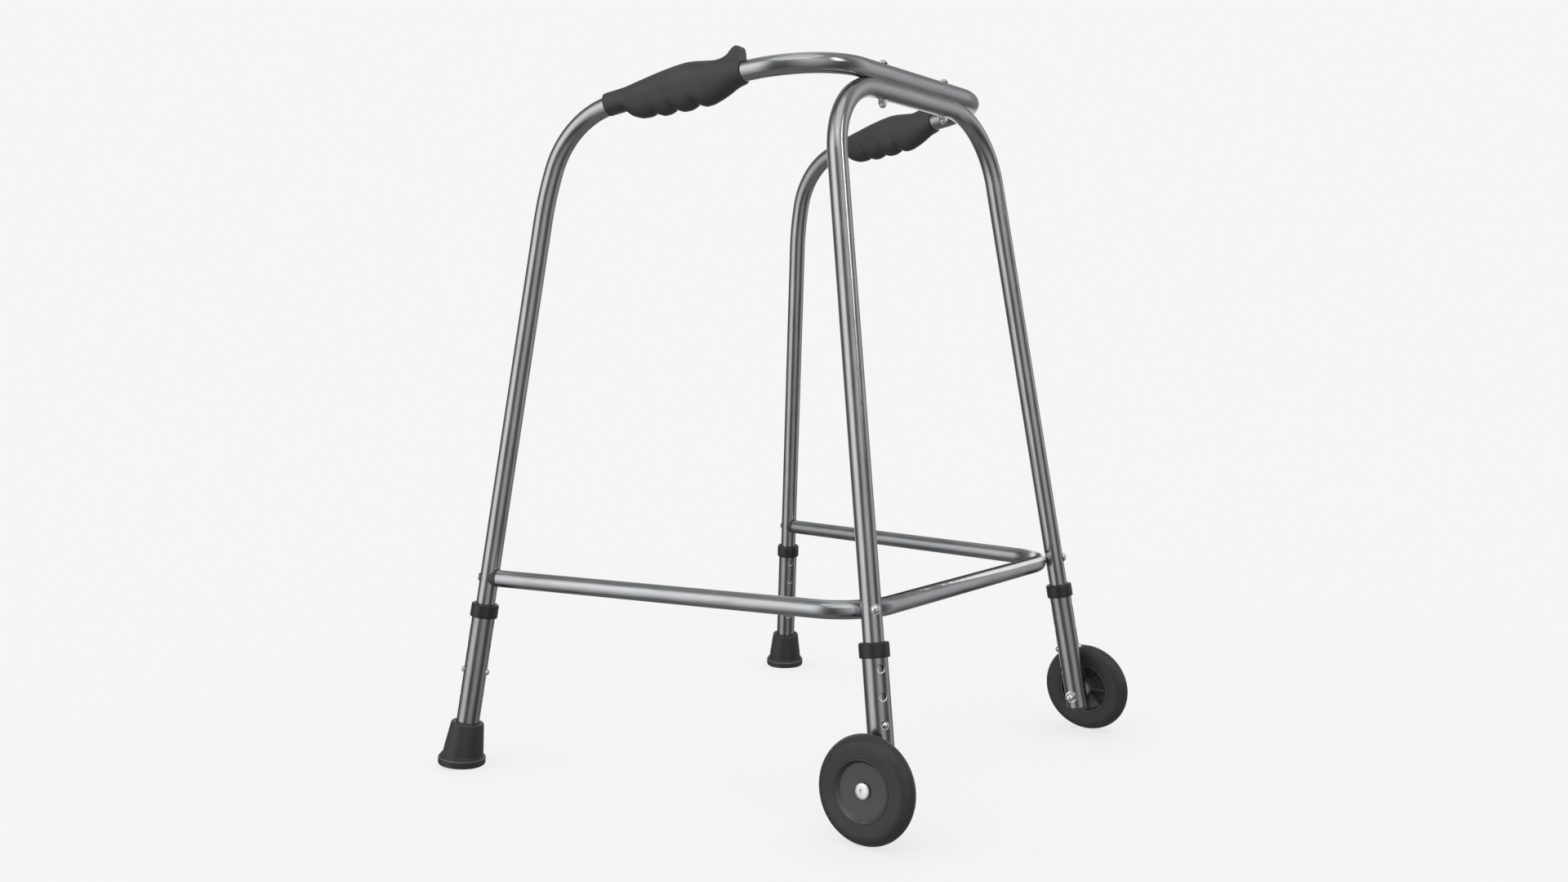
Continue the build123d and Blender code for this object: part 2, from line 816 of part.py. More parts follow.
def build_hub(side, leg):
    centre = wheel_centre(leg)
    axle_dir = leg.axle_dir
    upright = square_to(Vector(0, 0, 1), axle_dir)
    with BuildPart() as hub:
        with BuildSketch(axial_plane(centre, leg.up, axle_dir)):
            with BuildLine():
                Polyline(*hub_outline, close=True)
            make_face()
        revolve(axis=Axis(centre, axle_dir))
        # ribs across the inner recess, one of them straight up
        for k in range(rib_count):
            angle = math.radians(360 / rib_count * k)
            spoke = upright * math.cos(angle) + axle_dir.cross(upright) * math.sin(angle)
            with BuildSketch(Plane(
                origin=centre - axle_dir * 10.4, x_dir=spoke, z_dir=axle_dir,
            )):
                with Locations((22.0, 0)):
                    Rectangle(23.0, 2.2)
            extrude(amount=9.4)
    save(hub, f"{side}_wheel_hub")


def build_bush(side, leg):
    start = wheel_centre(leg) + leg.axle_dir * hub_inner_face
    with BuildPart() as bush:
        with BuildSketch(Plane(origin=start, z_dir=leg.axle_dir)):
            Circle(hub_bore - gap)
            Circle(axle_radius + 0.08, mode=Mode.SUBTRACT)
        extrude(amount=hub_outer_face - hub_inner_face)
    save(bush, f"{side}_wheel_bush")


def build_spacer(side, leg):
    """Spacer between sleeve and hub, saddle-shaped against the sleeve."""
    with BuildPart() as spacer:
        with BuildSketch(Plane(origin=leg.at(axle_station), z_dir=leg.axle_dir)):
            Circle(10.4)
            Circle(axle_hole, mode=Mode.SUBTRACT)
        extrude(amount=wheel_offset + hub_inner_face - 0.15)
        with BuildSketch(leg.cross_plane(axle_station - 30)):
            Circle(sleeve_radius + gap)
        extrude(amount=60, mode=Mode.SUBTRACT)
    save(spacer, f"{side}_axle_spacer")


def axle_line(leg):
    """Head outside the hub, washer and nut on the inner face of the sleeve."""
    seat = -(sleeve_radius + gap)
    nut_face = seat - 1.1
    return BoltLine(
        origin=leg.at(axle_station),
        axis=leg.axle_dir,
        radial=leg.up,
        head_face=wheel_offset + 8.1,
        nut_face=nut_face,
        tail=nut_face - 6.0,
        washers=(seat - washer_thickness,),
    )


def build_front_leg_plug(side, leg):
    """Plug closing the bottom of the front sleeve."""
    sleeve_end = leg.sleeve_bottom
    foot = sleeve_end - plug_foot
    spigot = sleeve_bore - gap
    hollow = sleeve_bore - 2
    with BuildPart() as end_plug:
        with BuildSketch(leg.long_plane()):
            with BuildLine():
                Polyline(
                    (0, foot), (sleeve_radius - 1.4, foot),
                    (sleeve_radius, foot + 1.2), (sleeve_radius, sleeve_end - gap),
                    (spigot, sleeve_end - gap), (spigot, sleeve_end + 11),
                    (hollow, sleeve_end + 11), (hollow, sleeve_end), (0, sleeve_end),
                    close=True,
                )
            make_face()
        revolve(axis=leg.axis())
    save(end_plug, f"{side}_front_leg_plug")


for side, leg in front.items():
    build_tyre(side, leg)
    build_hub(side, leg)
    build_bush(side, leg)
    build_spacer(side, leg)
    line = axle_line(leg)
    build_bolts(f"{side}_axle_bolt", [line], axle_head, shank=axle_radius)
    build_domed_nuts(f"{side}_axle_nut", [line], axle_nut)
    build_washers(f"{side}_axle_washer", [line], radius=8.2, hole=axle_hole)
    build_front_leg_plug(side, leg)
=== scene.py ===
"""A wheeled walking frame: a bent handle tube with two moulded grips, a front tube nested under it,
a low brace, four leg sleeves with snap buttons, rubber ferrules at the rear and wheels at the front.

It stands on the floor, z = 0, with +Z up. Its front faces -Y, its left side is at +X and x = 0 is
the plane of symmetry. Sizes are in millimetres; piece() turns them into metres.
"""

import json
import math

import bmesh
import bpy
import numpy as np
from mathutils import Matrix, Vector


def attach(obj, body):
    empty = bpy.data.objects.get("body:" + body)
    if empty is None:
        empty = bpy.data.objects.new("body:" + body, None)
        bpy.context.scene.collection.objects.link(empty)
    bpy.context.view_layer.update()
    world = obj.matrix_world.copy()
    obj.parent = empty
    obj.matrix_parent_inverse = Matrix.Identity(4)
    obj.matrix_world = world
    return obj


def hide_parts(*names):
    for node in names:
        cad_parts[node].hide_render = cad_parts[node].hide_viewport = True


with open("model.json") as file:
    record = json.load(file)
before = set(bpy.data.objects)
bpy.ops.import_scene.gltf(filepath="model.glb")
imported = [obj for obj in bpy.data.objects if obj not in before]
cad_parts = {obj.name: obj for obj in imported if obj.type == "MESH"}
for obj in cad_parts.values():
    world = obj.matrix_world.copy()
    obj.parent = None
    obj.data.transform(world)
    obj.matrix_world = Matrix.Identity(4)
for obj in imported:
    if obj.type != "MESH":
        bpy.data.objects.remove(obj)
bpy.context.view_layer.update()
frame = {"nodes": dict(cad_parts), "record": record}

# ---------------------------------------------------------------- driving dimensions, millimetres
GAP = 0.05                                  # clearance between fitted pieces
FRAME_RADIUS, FRAME_WALL, BRACE_RADIUS = 25.0 / 2, 1.3, 22.7 / 2
# left side points where straight runs meet: feet are (x, y) on the floor, the others (x, y, z)
REAR_FOOT, REAR_BEND = (364.7, 316.5), (269.3, 214.7, 866.5)
FRONT_FOOT, FRONT_BEND = (263.0, -293.6), (189.9, -163.1, 880.9)
FRONT_CORNER = (213.3, -163.1, 901.0)
# the rear bend is cut by three corners: down the leg, between, and along the handle
REAR_BEND_DOWN, REAR_BEND_FORE, REAR_BEND_MID = 112.4, 163.9, 0.11
REAR_BEND_RADII = (414.0, 114.2, 181.0)
FRONT_CORNER_RADIUS, FRONT_BEND_RADIUS = 104.1, 104.0
BRACE_HEIGHT, BRACE_CORNER, BRACE_CORNER_RADIUS, BRACE_START = 251.3, (249.9, -247.65), 70.2, 17.5

# stations along a leg, from its foot
SLEEVE_RADIUS, SLEEVE_BORE = 30.4 / 2, 27.2 / 2
COLLAR_RADIUS, COLLAR_LIP = 36.2 / 2, 3.5
COLLARS = {"rear": (201.5, 219.6), "front": (203.8, 221.5)}     # bottom, top
SLEEVE_BOTTOM = {"rear": 11.0, "front": 42.8}
TUBE_END = {"rear": 79.0, "front": 81.0}
BUTTON_STATION, HOLE_PITCH, HOLE_RADIUS = 128.0, 31.8, 4.3
HOLE_STEPS = (-1, 0, 1, 2)                  # holes, in pitches above the button
HOLE_ANGLE = {"rear": -38.0, "front": 32.0}  # degrees from straight ahead towards the outside
BUTTON_RADIUS, BUTTON_TIP, BUTTON_DOME = 4.0, 18.7, 2.2

WHEEL_OFFSET, AXLE_STATION = 36.8, 60.17
FERRULE_RADIUS, FERRULE_SINK = 31.2, 1.2
SIDES = (("left", 1.0), ("right", -1.0))


# ---------------------------------------------------------------- vectors and curves
def vec(*coords):
    return np.array(coords, float)


def unit(v):
    return v / np.linalg.norm(v)


def perpendicular(v, *axes):
    """The unit vector nearest v that is square to the given unit axes."""
    return unit(v - sum(axis * (v @ axis) for axis in axes))


def angle_between(u, v):
    return math.acos(max(-1.0, min(1.0, u @ v)))


UP = vec(0, 0, 1)


class Leg:
    """A straight leg: up runs along it, holes along its adjustment holes, axle out of its side."""

    def __init__(self, sx, foot, top, hole_angle):
        self.foot = vec(sx * foot[0], foot[1], 0)
        self.up = unit(vec(sx * top[0], top[1], top[2]) - self.foot)
        ahead = perpendicular(vec(0, -1, 0), self.up)
        out = perpendicular(vec(sx, 0, 0), self.up, ahead)
        angle = math.radians(hole_angle)
        self.holes = ahead * math.cos(angle) + out * math.sin(angle)
        self.axle = unit(vec(sx * abs(self.up[2]), 0, abs(self.up[0])))

    def at(self, station):
        return self.foot + self.up * station


legs = {}
for side, sx in SIDES:
    legs["rear", side] = Leg(sx, REAR_FOOT, REAR_BEND, HOLE_ANGLE["rear"])
    legs["front", side] = Leg(sx, FRONT_FOOT, FRONT_BEND, HOLE_ANGLE["front"])


def smooth(x, start, end):
    t = np.clip((x - start) / (end - start), 0, 1)
    return t * t * (3 - 2 * t)


def hermite(table, x):
    """Monotone cubic interpolation, so that a profile keeps its turning points."""
    xs, ys = np.array(table, float).T
    widths = np.diff(xs)
    chords = np.diff(ys) / widths
    slopes = np.zeros_like(ys)
    for i in range(1, len(xs) - 1):
        before, after = chords[i - 1], chords[i]
        if before * after > 0:
            w1 = 2 * widths[i] + widths[i - 1]
            w2 = widths[i] + 2 * widths[i - 1]
            slopes[i] = (w1 + w2) / (w1 / before + w2 / after)
    slopes[0], slopes[-1] = chords[0], chords[-1]
    i = np.clip(np.searchsorted(xs, x) - 1, 0, len(xs) - 2)
    t = np.clip((x - xs[i]) / widths[i], 0, 1)
    value = (1 + 2 * t) * (1 - t) ** 2 * ys[i] + t * t * (3 - 2 * t) * ys[i + 1]
    bend = t * (1 - t) ** 2 * slopes[i] + t * t * (t - 1) * slopes[i + 1]
    return value + bend * widths[i]


def fillet_path(corners, radii, step=4.0, arc_step=1.2):
    """Points and tangents along a polyline with rounded corners; arc_step is in degrees."""
    points, tangents = [corners[0]], [unit(corners[1] - corners[0])]

    def line_to(end):
        start = points[-1]
        length = np.linalg.norm(end - start)
        count = max(1, int(length / step))
        tangent = unit(end - start) if length > 1e-6 else tangents[-1]
        for i in range(1, count + 1):
            points.append(start + (end - start) * i / count)
            tangents.append(tangent)

    for before, corner, after, radius in zip(corners, corners[1:], corners[2:], radii):
        u, v = unit(corner - before), unit(after - corner)
        turn = angle_between(u, v)
        start = corner - u * radius * math.tan(turn / 2)
        line_to(start)
        inward = perpendicular(v, u)
        centre = start + inward * radius
        count = max(2, int(math.degrees(turn) / arc_step))
        for i in range(1, count + 1):
            angle = turn * i / count
            c, s = math.cos(angle), math.sin(angle)
            points.append(centre - inward * radius * c + u * radius * s)
            tangents.append(u * c + inward * s)
    line_to(corners[-1])
    return np.array(points), np.array(tangents)


def carried_normals(points, tangents):
    """A twist-free normal at each point, by double reflection, starting as near up as it can."""
    normal = perpendicular(UP, tangents[0])
    normals = [normal]
    for i in range(1, len(points)):
        v1 = points[i] - points[i - 1]
        scale = 2 / (v1 @ v1)
        normal = normal - scale * (v1 @ normal) * v1
        v2 = tangents[i] - (tangents[i - 1] - scale * (v1 @ tangents[i - 1]) * v1)
        size = v2 @ v2
        if size > 1e-16:
            normal = normal - (2 / size) * (v2 @ normal) * v2
        normal = perpendicular(unit(normal), tangents[i])
        normals.append(normal)
    return np.array(normals)


def rounded(points, radii, count=6):
    """A closed 2D outline with each corner rounded to its own radius."""
    points = [vec(*p) for p in points]
    outline = []
    for i, (point, radius) in enumerate(zip(points, radii)):
        if radius <= 0:
            outline.append(point)
            continue
        before, after = points[i - 1] - point, points[(i + 1) % len(points)] - point
        u, v = unit(before), unit(after)
        angle = angle_between(u, v)
        cut = min(radius / math.tan(angle / 2), 0.48 * np.linalg.norm(before),
                  0.48 * np.linalg.norm(after))
        fitted = cut * math.tan(angle / 2)
        centre = point + unit(u + v) * (fitted / math.sin(angle / 2))
        start, end = point + u * cut - centre, point + v * cut - centre
        sweep = angle_between(unit(start), unit(end))
        for k in range(count + 1):
            t = k / count
            arc = math.sin((1 - t) * sweep) * start + math.sin(t * sweep) * end
            outline.append(centre + arc / math.sin(sweep))
    return outline


# ---------------------------------------------------------------- meshes
def bridge(a, b):
    """Quads between two closed loops of vertex numbers."""
    n = len(a)
    return [(a[j], a[(j + 1) % n], b[(j + 1) % n], b[j]) for j in range(n)]


def bridge_all(loops):
    return [face for a, b in zip(loops, loops[1:]) for face in bridge(a, b)]


def ring_loops(rings, base=0):
    seg = len(rings[0])
    return [range(base + i * seg, base + (i + 1) * seg) for i in range(len(rings))]


def closed_shell(rings):
    """Vertices and faces through the rings, the last joined to the first."""
    loops = ring_loops(rings)
    return np.concatenate(rings), bridge_all(loops + loops[:1])


def capped_shell(first, rings, last):
    """Vertices and faces through the rings, each end closed by a fan to a single point."""
    verts = np.concatenate([[first], *rings, [last]])
    loops = ring_loops(rings, base=1)
    faces = bridge_all(loops)
    low, high, end = loops[0], loops[-1], len(verts) - 1
    for j in range(len(low)):
        k = (j + 1) % len(low)
        faces += [(0, low[k], low[j]), (end, high[j], high[k])]
    return verts, faces


def circle(centre, axis, toward, radius, seg):
    """A ring about an axis, starting on the side of toward; radius may vary round it."""
    axis = unit(axis)
    x = perpendicular(toward, axis)
    y = np.cross(axis, x)
    angles = np.linspace(0, 2 * math.pi, seg, endpoint=False)
    return centre + np.outer(np.cos(angles) * radius, x) + np.outer(np.sin(angles) * radius, y)


def lathe(origin, axis, toward, profile, seg, closed=True):
    """A profile of (radius, height) turned about an axis.
    An open profile starts and ends on the axis."""
    body = profile if closed else profile[1:-1]
    rings = [circle(origin + axis * h, axis, toward, r, seg) for r, h in body]
    if closed:
        return closed_shell(rings)
    return capped_shell(origin + axis * profile[0][1], rings, origin + axis * profile[-1][1])


def piece(name, mesh, body, node, slot, material=None, sharp=38.0, flow=None):
    """A visible mesh that rides on a CAD body and stands for a CAD node.
    sharp is the edge angle in degrees; flow is a position in the unbent tube, per vertex."""
    verts, faces = mesh
    me = bpy.data.meshes.new(name)
    me.from_pydata((verts * 0.001).tolist(), [], faces)
    me.update()
    bm = bmesh.new()
    bm.from_mesh(me)
    bmesh.ops.recalc_face_normals(bm, faces=bm.faces)
    bm.to_mesh(me)
    bm.free()
    me.polygons.foreach_set("use_smooth", [True] * len(me.polygons))
    me.set_sharp_from_angle(angle=math.radians(sharp))
    if flow is not None:
        attribute = me.attributes.new("flow", "FLOAT_VECTOR", "POINT")
        attribute.data.foreach_set("vector", (np.asarray(flow, np.float32) * 0.001).ravel())
    ob = bpy.data.objects.new(name, me)
    bpy.context.scene.collection.objects.link(ob)
    ob.data.materials.append(MATERIALS[material or slot])
    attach(ob, body)
    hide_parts(node)
    return ob


def second_material(ob, material, face_numbers):
    ob.data.materials.append(MATERIALS[material])
    for i in face_numbers:
        ob.data.polygons[i].material_index = 1


# ---------------------------------------------------------------- shader graph helper
class Graph:
    """Short calls for building a node tree; values may be numbers or sockets."""

    def __init__(self, tree):
        self.tree = tree

    def feed(self, node, key, value):
        if isinstance(value, bpy.types.NodeSocket):
            self.tree.links.new(value, node.inputs[key])
        else:
            node.inputs[key].default_value = value

    def node(self, kind, inputs=None, **props):
        node = self.tree.nodes.new(kind)
        for key, value in props.items():
            setattr(node, key, value)
        for key, value in (inputs or {}).items():
            self.feed(node, key, value)
        return node

    def math(self, operation, a, b=0.0):
        return self.node("ShaderNodeMath", {0: a, 1: b}, operation=operation).outputs[0]

    def add(self, a, b):
        return self.math("ADD", a, b)

    def minus(self, a, b):
        return self.math("SUBTRACT", a, b)

    def times(self, a, b):
        return self.math("MULTIPLY", a, b)

    def weighted(self, first, *others):
        """Sum of (value, weight) pairs."""
        total = self.times(*first)
        for pair in others:
            total = self.add(total, self.times(*pair))
        return total

    def noise(self, vector, scale=1.0, detail=3.0, rough=0.6, stretch=None):
        if stretch:
            vector = self.node("ShaderNodeVectorMath", {0: vector, 1: stretch},
                               operation="MULTIPLY").outputs[0]
        return self.node("ShaderNodeTexNoise", {"Vector": vector, "Scale": scale, "Detail": detail,
                                                "Roughness": rough}).outputs[0]

    def remap(self, value, span, to=(0.0, 1.0)):
        """Carry value linearly, and clamped, from one span to another."""
        return self.node("ShaderNodeMapRange", {
            "Value": value, "From Min": span[0], "From Max": span[1],
            "To Min": to[0], "To Max": to[1]}).outputs[0]

    def smoothstep(self, value, span):
        return self.node("ShaderNodeMapRange",
                         {"Value": value, "From Min": span[0], "From Max": span[1]},
                         interpolation_type="SMOOTHSTEP").outputs[0]

    def mix(self, factor, a, b, blend="MIX"):
        return self.node("ShaderNodeMix", {0: factor, 6: a, 7: b},
                         data_type="RGBA", blend_type=blend).outputs[2]

    def bump(self, height, strength, distance, normal=None):
        inputs = {"Height": height, "Strength": strength, "Distance": distance}
        if normal is not None:
            inputs["Normal"] = normal
        return self.node("ShaderNodeBump", inputs).outputs[0]

    def coords(self, kind="Object"):
        return self.node("ShaderNodeTexCoord").outputs[kind]

    def xyz(self, vector):
        return self.node("ShaderNodeSeparateXYZ", {0: vector}).outputs

    def normal(self):
        return self.xyz(self.node("ShaderNodeNewGeometry").outputs["Normal"])


def grey(value, tint=(1.0, 1.0, 1.0)):
    return (value * tint[0], value * tint[1], value * tint[2], 1.0)


# ---------------------------------------------------------------- materials
COOL = (0.985, 1.0, 1.015)
NOISE_SPAN = (0.3, 0.7)             # nearly all of a noise's values
NOISE_CORE = (0.35, 0.65)           # the same, with more contrast


def principled(name):
    material = bpy.data.materials.new(name)
    material.use_nodes = True
    graph = Graph(material.node_tree)
    graph.tree.nodes.clear()
    out = graph.node("ShaderNodeOutputMaterial")
    bsdf = graph.node("ShaderNodeBsdfPrincipled")
    graph.feed(out, 0, bsdf.outputs[0])
    return material, graph, bsdf


def painted_reflection_band(graph, bsdf, flow, color):
    """A painted reflection: a white band along the upper front of the tube, broken towards its right
    end, under a painted dark reflection line along the upper edge. Spans are of normals, or of
    places in metres."""
    place = graph.xyz(graph.coords())
    normal = graph.normal()
    glare_breakup = graph.noise(flow, stretch=(46.0, 420.0, 420.0), detail=5.0, rough=0.66)
    # the band's lower edge comes down from right to left
    rise = graph.minus(normal[2], graph.remap(place[0], (-0.10, 0.10), to=(0.72, 0.44)))
    band = graph.times(graph.remap(rise, (0.0, 0.12)),
                       graph.remap(normal[2], (0.83, 0.90), to=(1.0, 0.0)))
    band = graph.times(band, graph.remap(normal[1], (-0.02, -0.12)))
    along = graph.remap(place[0], (-0.17, -0.10))
    over = graph.minus(glare_breakup, graph.remap(place[0], (-0.07, 0.03), to=(0.49, 0.24)))
    glare = graph.times(graph.times(band, along), graph.remap(over, (0.0, 0.12), to=(0.0, 0.95)))
    # painted dark reflection line along the top of the front run; its reflection is tinted dark too
    painted_dark_line = graph.times(graph.remap(normal[2], (0.91, 0.97)),
                       graph.remap(place[1], (-0.225, -0.240)))
    color = graph.mix(graph.times(painted_dark_line, 0.7), color, grey(0.05))
    graph.feed(bsdf, "Specular Tint", graph.mix(painted_dark_line, grey(1.0), grey(0.22)))
    # painted highlight: inside the band the tube turns from metal to pale grey
    graph.feed(bsdf, "Metallic", graph.minus(1.0, glare))
    return graph.mix(glare, color, grey(0.98))


def tube_material(name, dark, light, rough, wear=0.0, reflection_band=False):
    """Drawn and brushed tube: streaks along its length, cloudy patches, rubbed spots, waviness."""
    material, graph, bsdf = principled(name)
    flow = graph.node("ShaderNodeAttribute", attribute_name="flow").outputs["Vector"]
    # noise cells per metre along the tube, then across it
    streaks, clouds = (14.0, 900.0, 900.0), (22.0, 95.0, 95.0)
    specks, waves = (330.0, 520.0, 520.0), (26.0, 120.0, 120.0)
    fine_streaks = tuple(2.6 * s for s in streaks)
    patches = tuple(0.35 * s for s in clouds)
    rubs = tuple(0.6 * s for s in clouds)

    streak = graph.noise(flow, stretch=streaks, detail=4.0)
    fine = graph.noise(flow, stretch=fine_streaks, detail=2.0)
    cloud = graph.noise(flow, stretch=clouds, detail=5.0, rough=0.62)
    patch = graph.noise(flow, stretch=patches, rough=0.55)
    speck = graph.noise(flow, stretch=specks)
    tone = graph.weighted((streak, 0.38), (cloud, 0.42), (patch, 0.2))
    tone = graph.remap(tone, (0.34, 0.66))
    color = graph.mix(tone, grey(dark, COOL), grey(light, COOL))
    # small dull specks, as on handled aluminium
    spots = graph.remap(speck, (0.62, 0.76), to=(0.0, 0.28))
    color = graph.mix(spots, color, grey(dark * 0.45, COOL))
    # painted reflection: a white band and a dark top line, on the brace only
    if reflection_band:
        color = painted_reflection_band(graph, bsdf, flow, color)
    else:
        graph.feed(bsdf, "Metallic", 1.0)
    graph.feed(bsdf, "Base Color", color)

    roughness = graph.add(graph.remap(cloud, NOISE_SPAN, to=(rough - 0.035, rough + 0.06)),
                          graph.remap(fine, NOISE_SPAN, to=(-0.03, 0.03)))
    if wear:
        rub = graph.noise(flow, stretch=rubs, detail=4.0, rough=0.7)
        roughness = graph.minus(roughness, graph.remap(rub, (0.52, 0.62), to=(0.0, wear)))
    graph.feed(bsdf, "Roughness", roughness)
    wave = graph.noise(flow, stretch=waves)
    wavy = graph.bump(wave, strength=0.85, distance=0.00009)
    graph.feed(bsdf, "Normal", graph.bump(fine, strength=0.45, distance=0.000014, normal=wavy))
    return material


def plastic_material(name, value, rough, grain_scale, grain_depth, tint=(1, 1, 1.01), vary=0.16,
                     spec=0.5, painted_top_light=0.0, edge=0.0, painted_sheen=0.0):
    """Moulded plastic or rubber: surface grain, slow tone variation, and optional painted light:
    highlights on convex edges, paler faces that look up and a sheen where the surface turns away.
    """
    material, graph, bsdf = principled(name)
    coords = graph.coords()
    slow = graph.noise(coords, scale=28.0, rough=0.5)
    mid = graph.noise(coords, scale=160.0, detail=4.0)
    grain = graph.noise(coords, scale=grain_scale, rough=0.65)
    tone = graph.remap(graph.weighted((slow, 0.6), (mid, 0.4)), NOISE_CORE)
    color = graph.mix(tone, grey(value * (1 - vary), tint), grey(value * (1 + vary), tint))
    if painted_top_light:
        # painted light: surfaces that face up are made paler, as if lit from above
        factor = graph.times(graph.remap(graph.normal()[2], (0.1, 1.0), to=(0.0, painted_top_light)),
                             graph.remap(mid, NOISE_CORE, to=(0.4, 1.0)))
        color = graph.mix(factor, color, grey(0.30))
    if edge:
        # painted highlight: convex edges made paler, as if they caught the light
        convex = graph.node("ShaderNodeNewGeometry").outputs["Pointiness"]
        factor = graph.remap(convex, (0.53, 0.62), to=(0.0, edge))
        color = graph.mix(factor, color, grey(min(0.4, value * 2.6)))
    if painted_sheen:
        # painted sheen: paler where the surface turns away from view
        away = graph.node("ShaderNodeLayerWeight", {"Blend": 0.5}).outputs["Facing"]
        factor = graph.times(graph.math("POWER", away, 4.0),
                             graph.remap(mid, NOISE_SPAN, to=(painted_sheen * 0.7, painted_sheen * 1.15)))
        color = graph.mix(factor, color, grey(0.30))
    graph.feed(bsdf, "Base Color", color)
    graph.feed(bsdf, "Roughness", graph.remap(mid, NOISE_SPAN, to=(rough - 0.05, rough + 0.06)))
    graph.feed(bsdf, "Specular IOR Level", spec)
    grainy = graph.bump(grain, strength=0.5, distance=grain_depth)
    graph.feed(bsdf, "Normal", graph.bump(slow, strength=0.25, distance=0.0003, normal=grainy))
    return material


def bright_material(name, value, rough, tint=(1.0, 1.0, 1.0)):
    """Bright metal with handling marks in its roughness and a faint orange peel."""
    material, graph, bsdf = principled(name)
    coords = graph.coords()
    marks = graph.noise(coords, scale=600.0, detail=4.0)
    peel = graph.noise(coords, scale=300.0, detail=2.0, rough=0.5)
    color = graph.mix(graph.remap(marks, NOISE_CORE), grey(value * 0.86, tint),
                      grey(min(1.0, value * 1.06), tint))
    graph.feed(bsdf, "Base Color", color)
    graph.feed(bsdf, "Metallic", 1.0)
    graph.feed(bsdf, "Roughness",
               graph.remap(marks, NOISE_SPAN, to=(max(0.02, rough - 0.04), rough + 0.06)))
    graph.feed(bsdf, "Normal", graph.bump(peel, strength=0.2, distance=0.00003))
    return material


# by slot name
MATERIALS = {
    "frame_tube": tube_material("brushed_frame_tube", dark=0.40, light=0.58, rough=0.175),
    # the brace carries a painted reflection band and a painted dark line along its front run
    "brace_tube": tube_material("brushed_brace_tube_painted_glare", dark=0.40, light=0.60, rough=0.19,
                                wear=0.05, reflection_band=True),
    "leg_sleeve": tube_material("brushed_leg_sleeve", dark=0.34, light=0.50, rough=0.19),
    # painted sheen where the grip turns away from view
    "grip": plastic_material("soft_grip", value=0.050, rough=0.44, grain_scale=2600.0,
                             grain_depth=0.00004, tint=(1, 1, 1.0), vary=0.14, painted_sheen=0.10),
    "bright_hardware": bright_material("plated_hardware", value=0.95, rough=0.20),
    "snap_button": bright_material("polished_button", value=0.95, rough=0.17),
    "spring_strip": bright_material("spring_steel", value=0.42, rough=0.30,
                                    tint=(0.95, 0.98, 1.06)),
    # painted highlight on the collar's convex edges
    "collar_plastic": plastic_material("moulded_collar", value=0.024, rough=0.34,
                                       grain_scale=1800.0, grain_depth=0.00003, edge=0.35),
    "plug_plastic": plastic_material("moulded_plug", value=0.055, rough=0.45, grain_scale=1800.0,
                                     grain_depth=0.00005, spec=0.4),
    "axle": bright_material("zinc_plated_axle", value=0.97, rough=0.34),
    # hole rims: bright cut metal; painted shade darkens the parts that face down
    "cut_edge": bright_material("cut_edge", value=0.90, rough=0.42),
    # painted light on upward faces, painted highlights on convex edges and a painted sheen where the
    # surface turns away
    "ferrule_rubber": plastic_material("ferrule_rubber", value=0.036, rough=0.46,
                                       grain_scale=1500.0, grain_depth=0.00006, vary=0.2,
                                       spec=0.45, painted_top_light=0.05, edge=0.4, painted_sheen=0.10),
    # painted highlight: a pale strip for the light caught on the ferrule foot's upper edge
    "ferrule_highlight_edge": plastic_material("rubber_edge_painted_highlight", value=0.125, rough=0.40,
                                     grain_scale=1500.0, grain_depth=0.00003, vary=0.35, spec=0.6),
    "ferrule_disc": bright_material("zinc_disc", value=0.55, rough=0.35),
    # painted sheen on the tyre where it turns away from view
    "wheel_tyre": plastic_material("solid_tyre", value=0.034, rough=0.46, grain_scale=1300.0,
                                   grain_depth=0.00006, painted_sheen=0.40),
    # painted light from above on the hub's upward faces
    "wheel_hub": plastic_material("moulded_hub", value=0.042, rough=0.30, grain_scale=1500.0,
                                  grain_depth=0.000015, vary=0.12, spec=0.7, painted_top_light=0.26),
    "wheel_bush": plastic_material("bearing_bush", value=0.55, rough=0.3, grain_scale=1500.0,
                                   grain_depth=0.00002, vary=0.06),
    "axle_spacer": plastic_material("axle_spacer", value=0.28, rough=0.34, grain_scale=1500.0,
                                    grain_depth=0.00003, vary=0.1),
}


def reopen(slot):
    """The graph, shader and base colour socket of a finished material."""
    tree = MATERIALS[slot].node_tree
    bsdf = tree.nodes["Principled BSDF"]
    return Graph(tree), bsdf, bsdf.inputs["Base Color"].links[0].from_socket


# painted light: the grips' flat front ends, facing ahead, are painted a little paler than their
# sides
graph, bsdf, color = reopen("grip")
ahead = graph.remap(graph.normal()[1], (-0.93, -0.80), to=(0.55, 0.0))
graph.feed(bsdf, "Base Color", graph.mix(ahead, color, grey(0.13)))

# painted light and shade: the hole rims keep their bright metal only where they face up, and are
# painted dark where they face down
graph, bsdf, color = reopen("cut_edge")
graph.feed(bsdf, "Metallic", 0.35)
upward = graph.remap(graph.normal()[2], (-0.08, 0.30))
graph.feed(bsdf, "Base Color", graph.mix(upward, grey(0.16), color))


# ---------------------------------------------------------------- tubes
TUBE_SEGMENTS, TUBE_CHAMFER = 72, 0.3


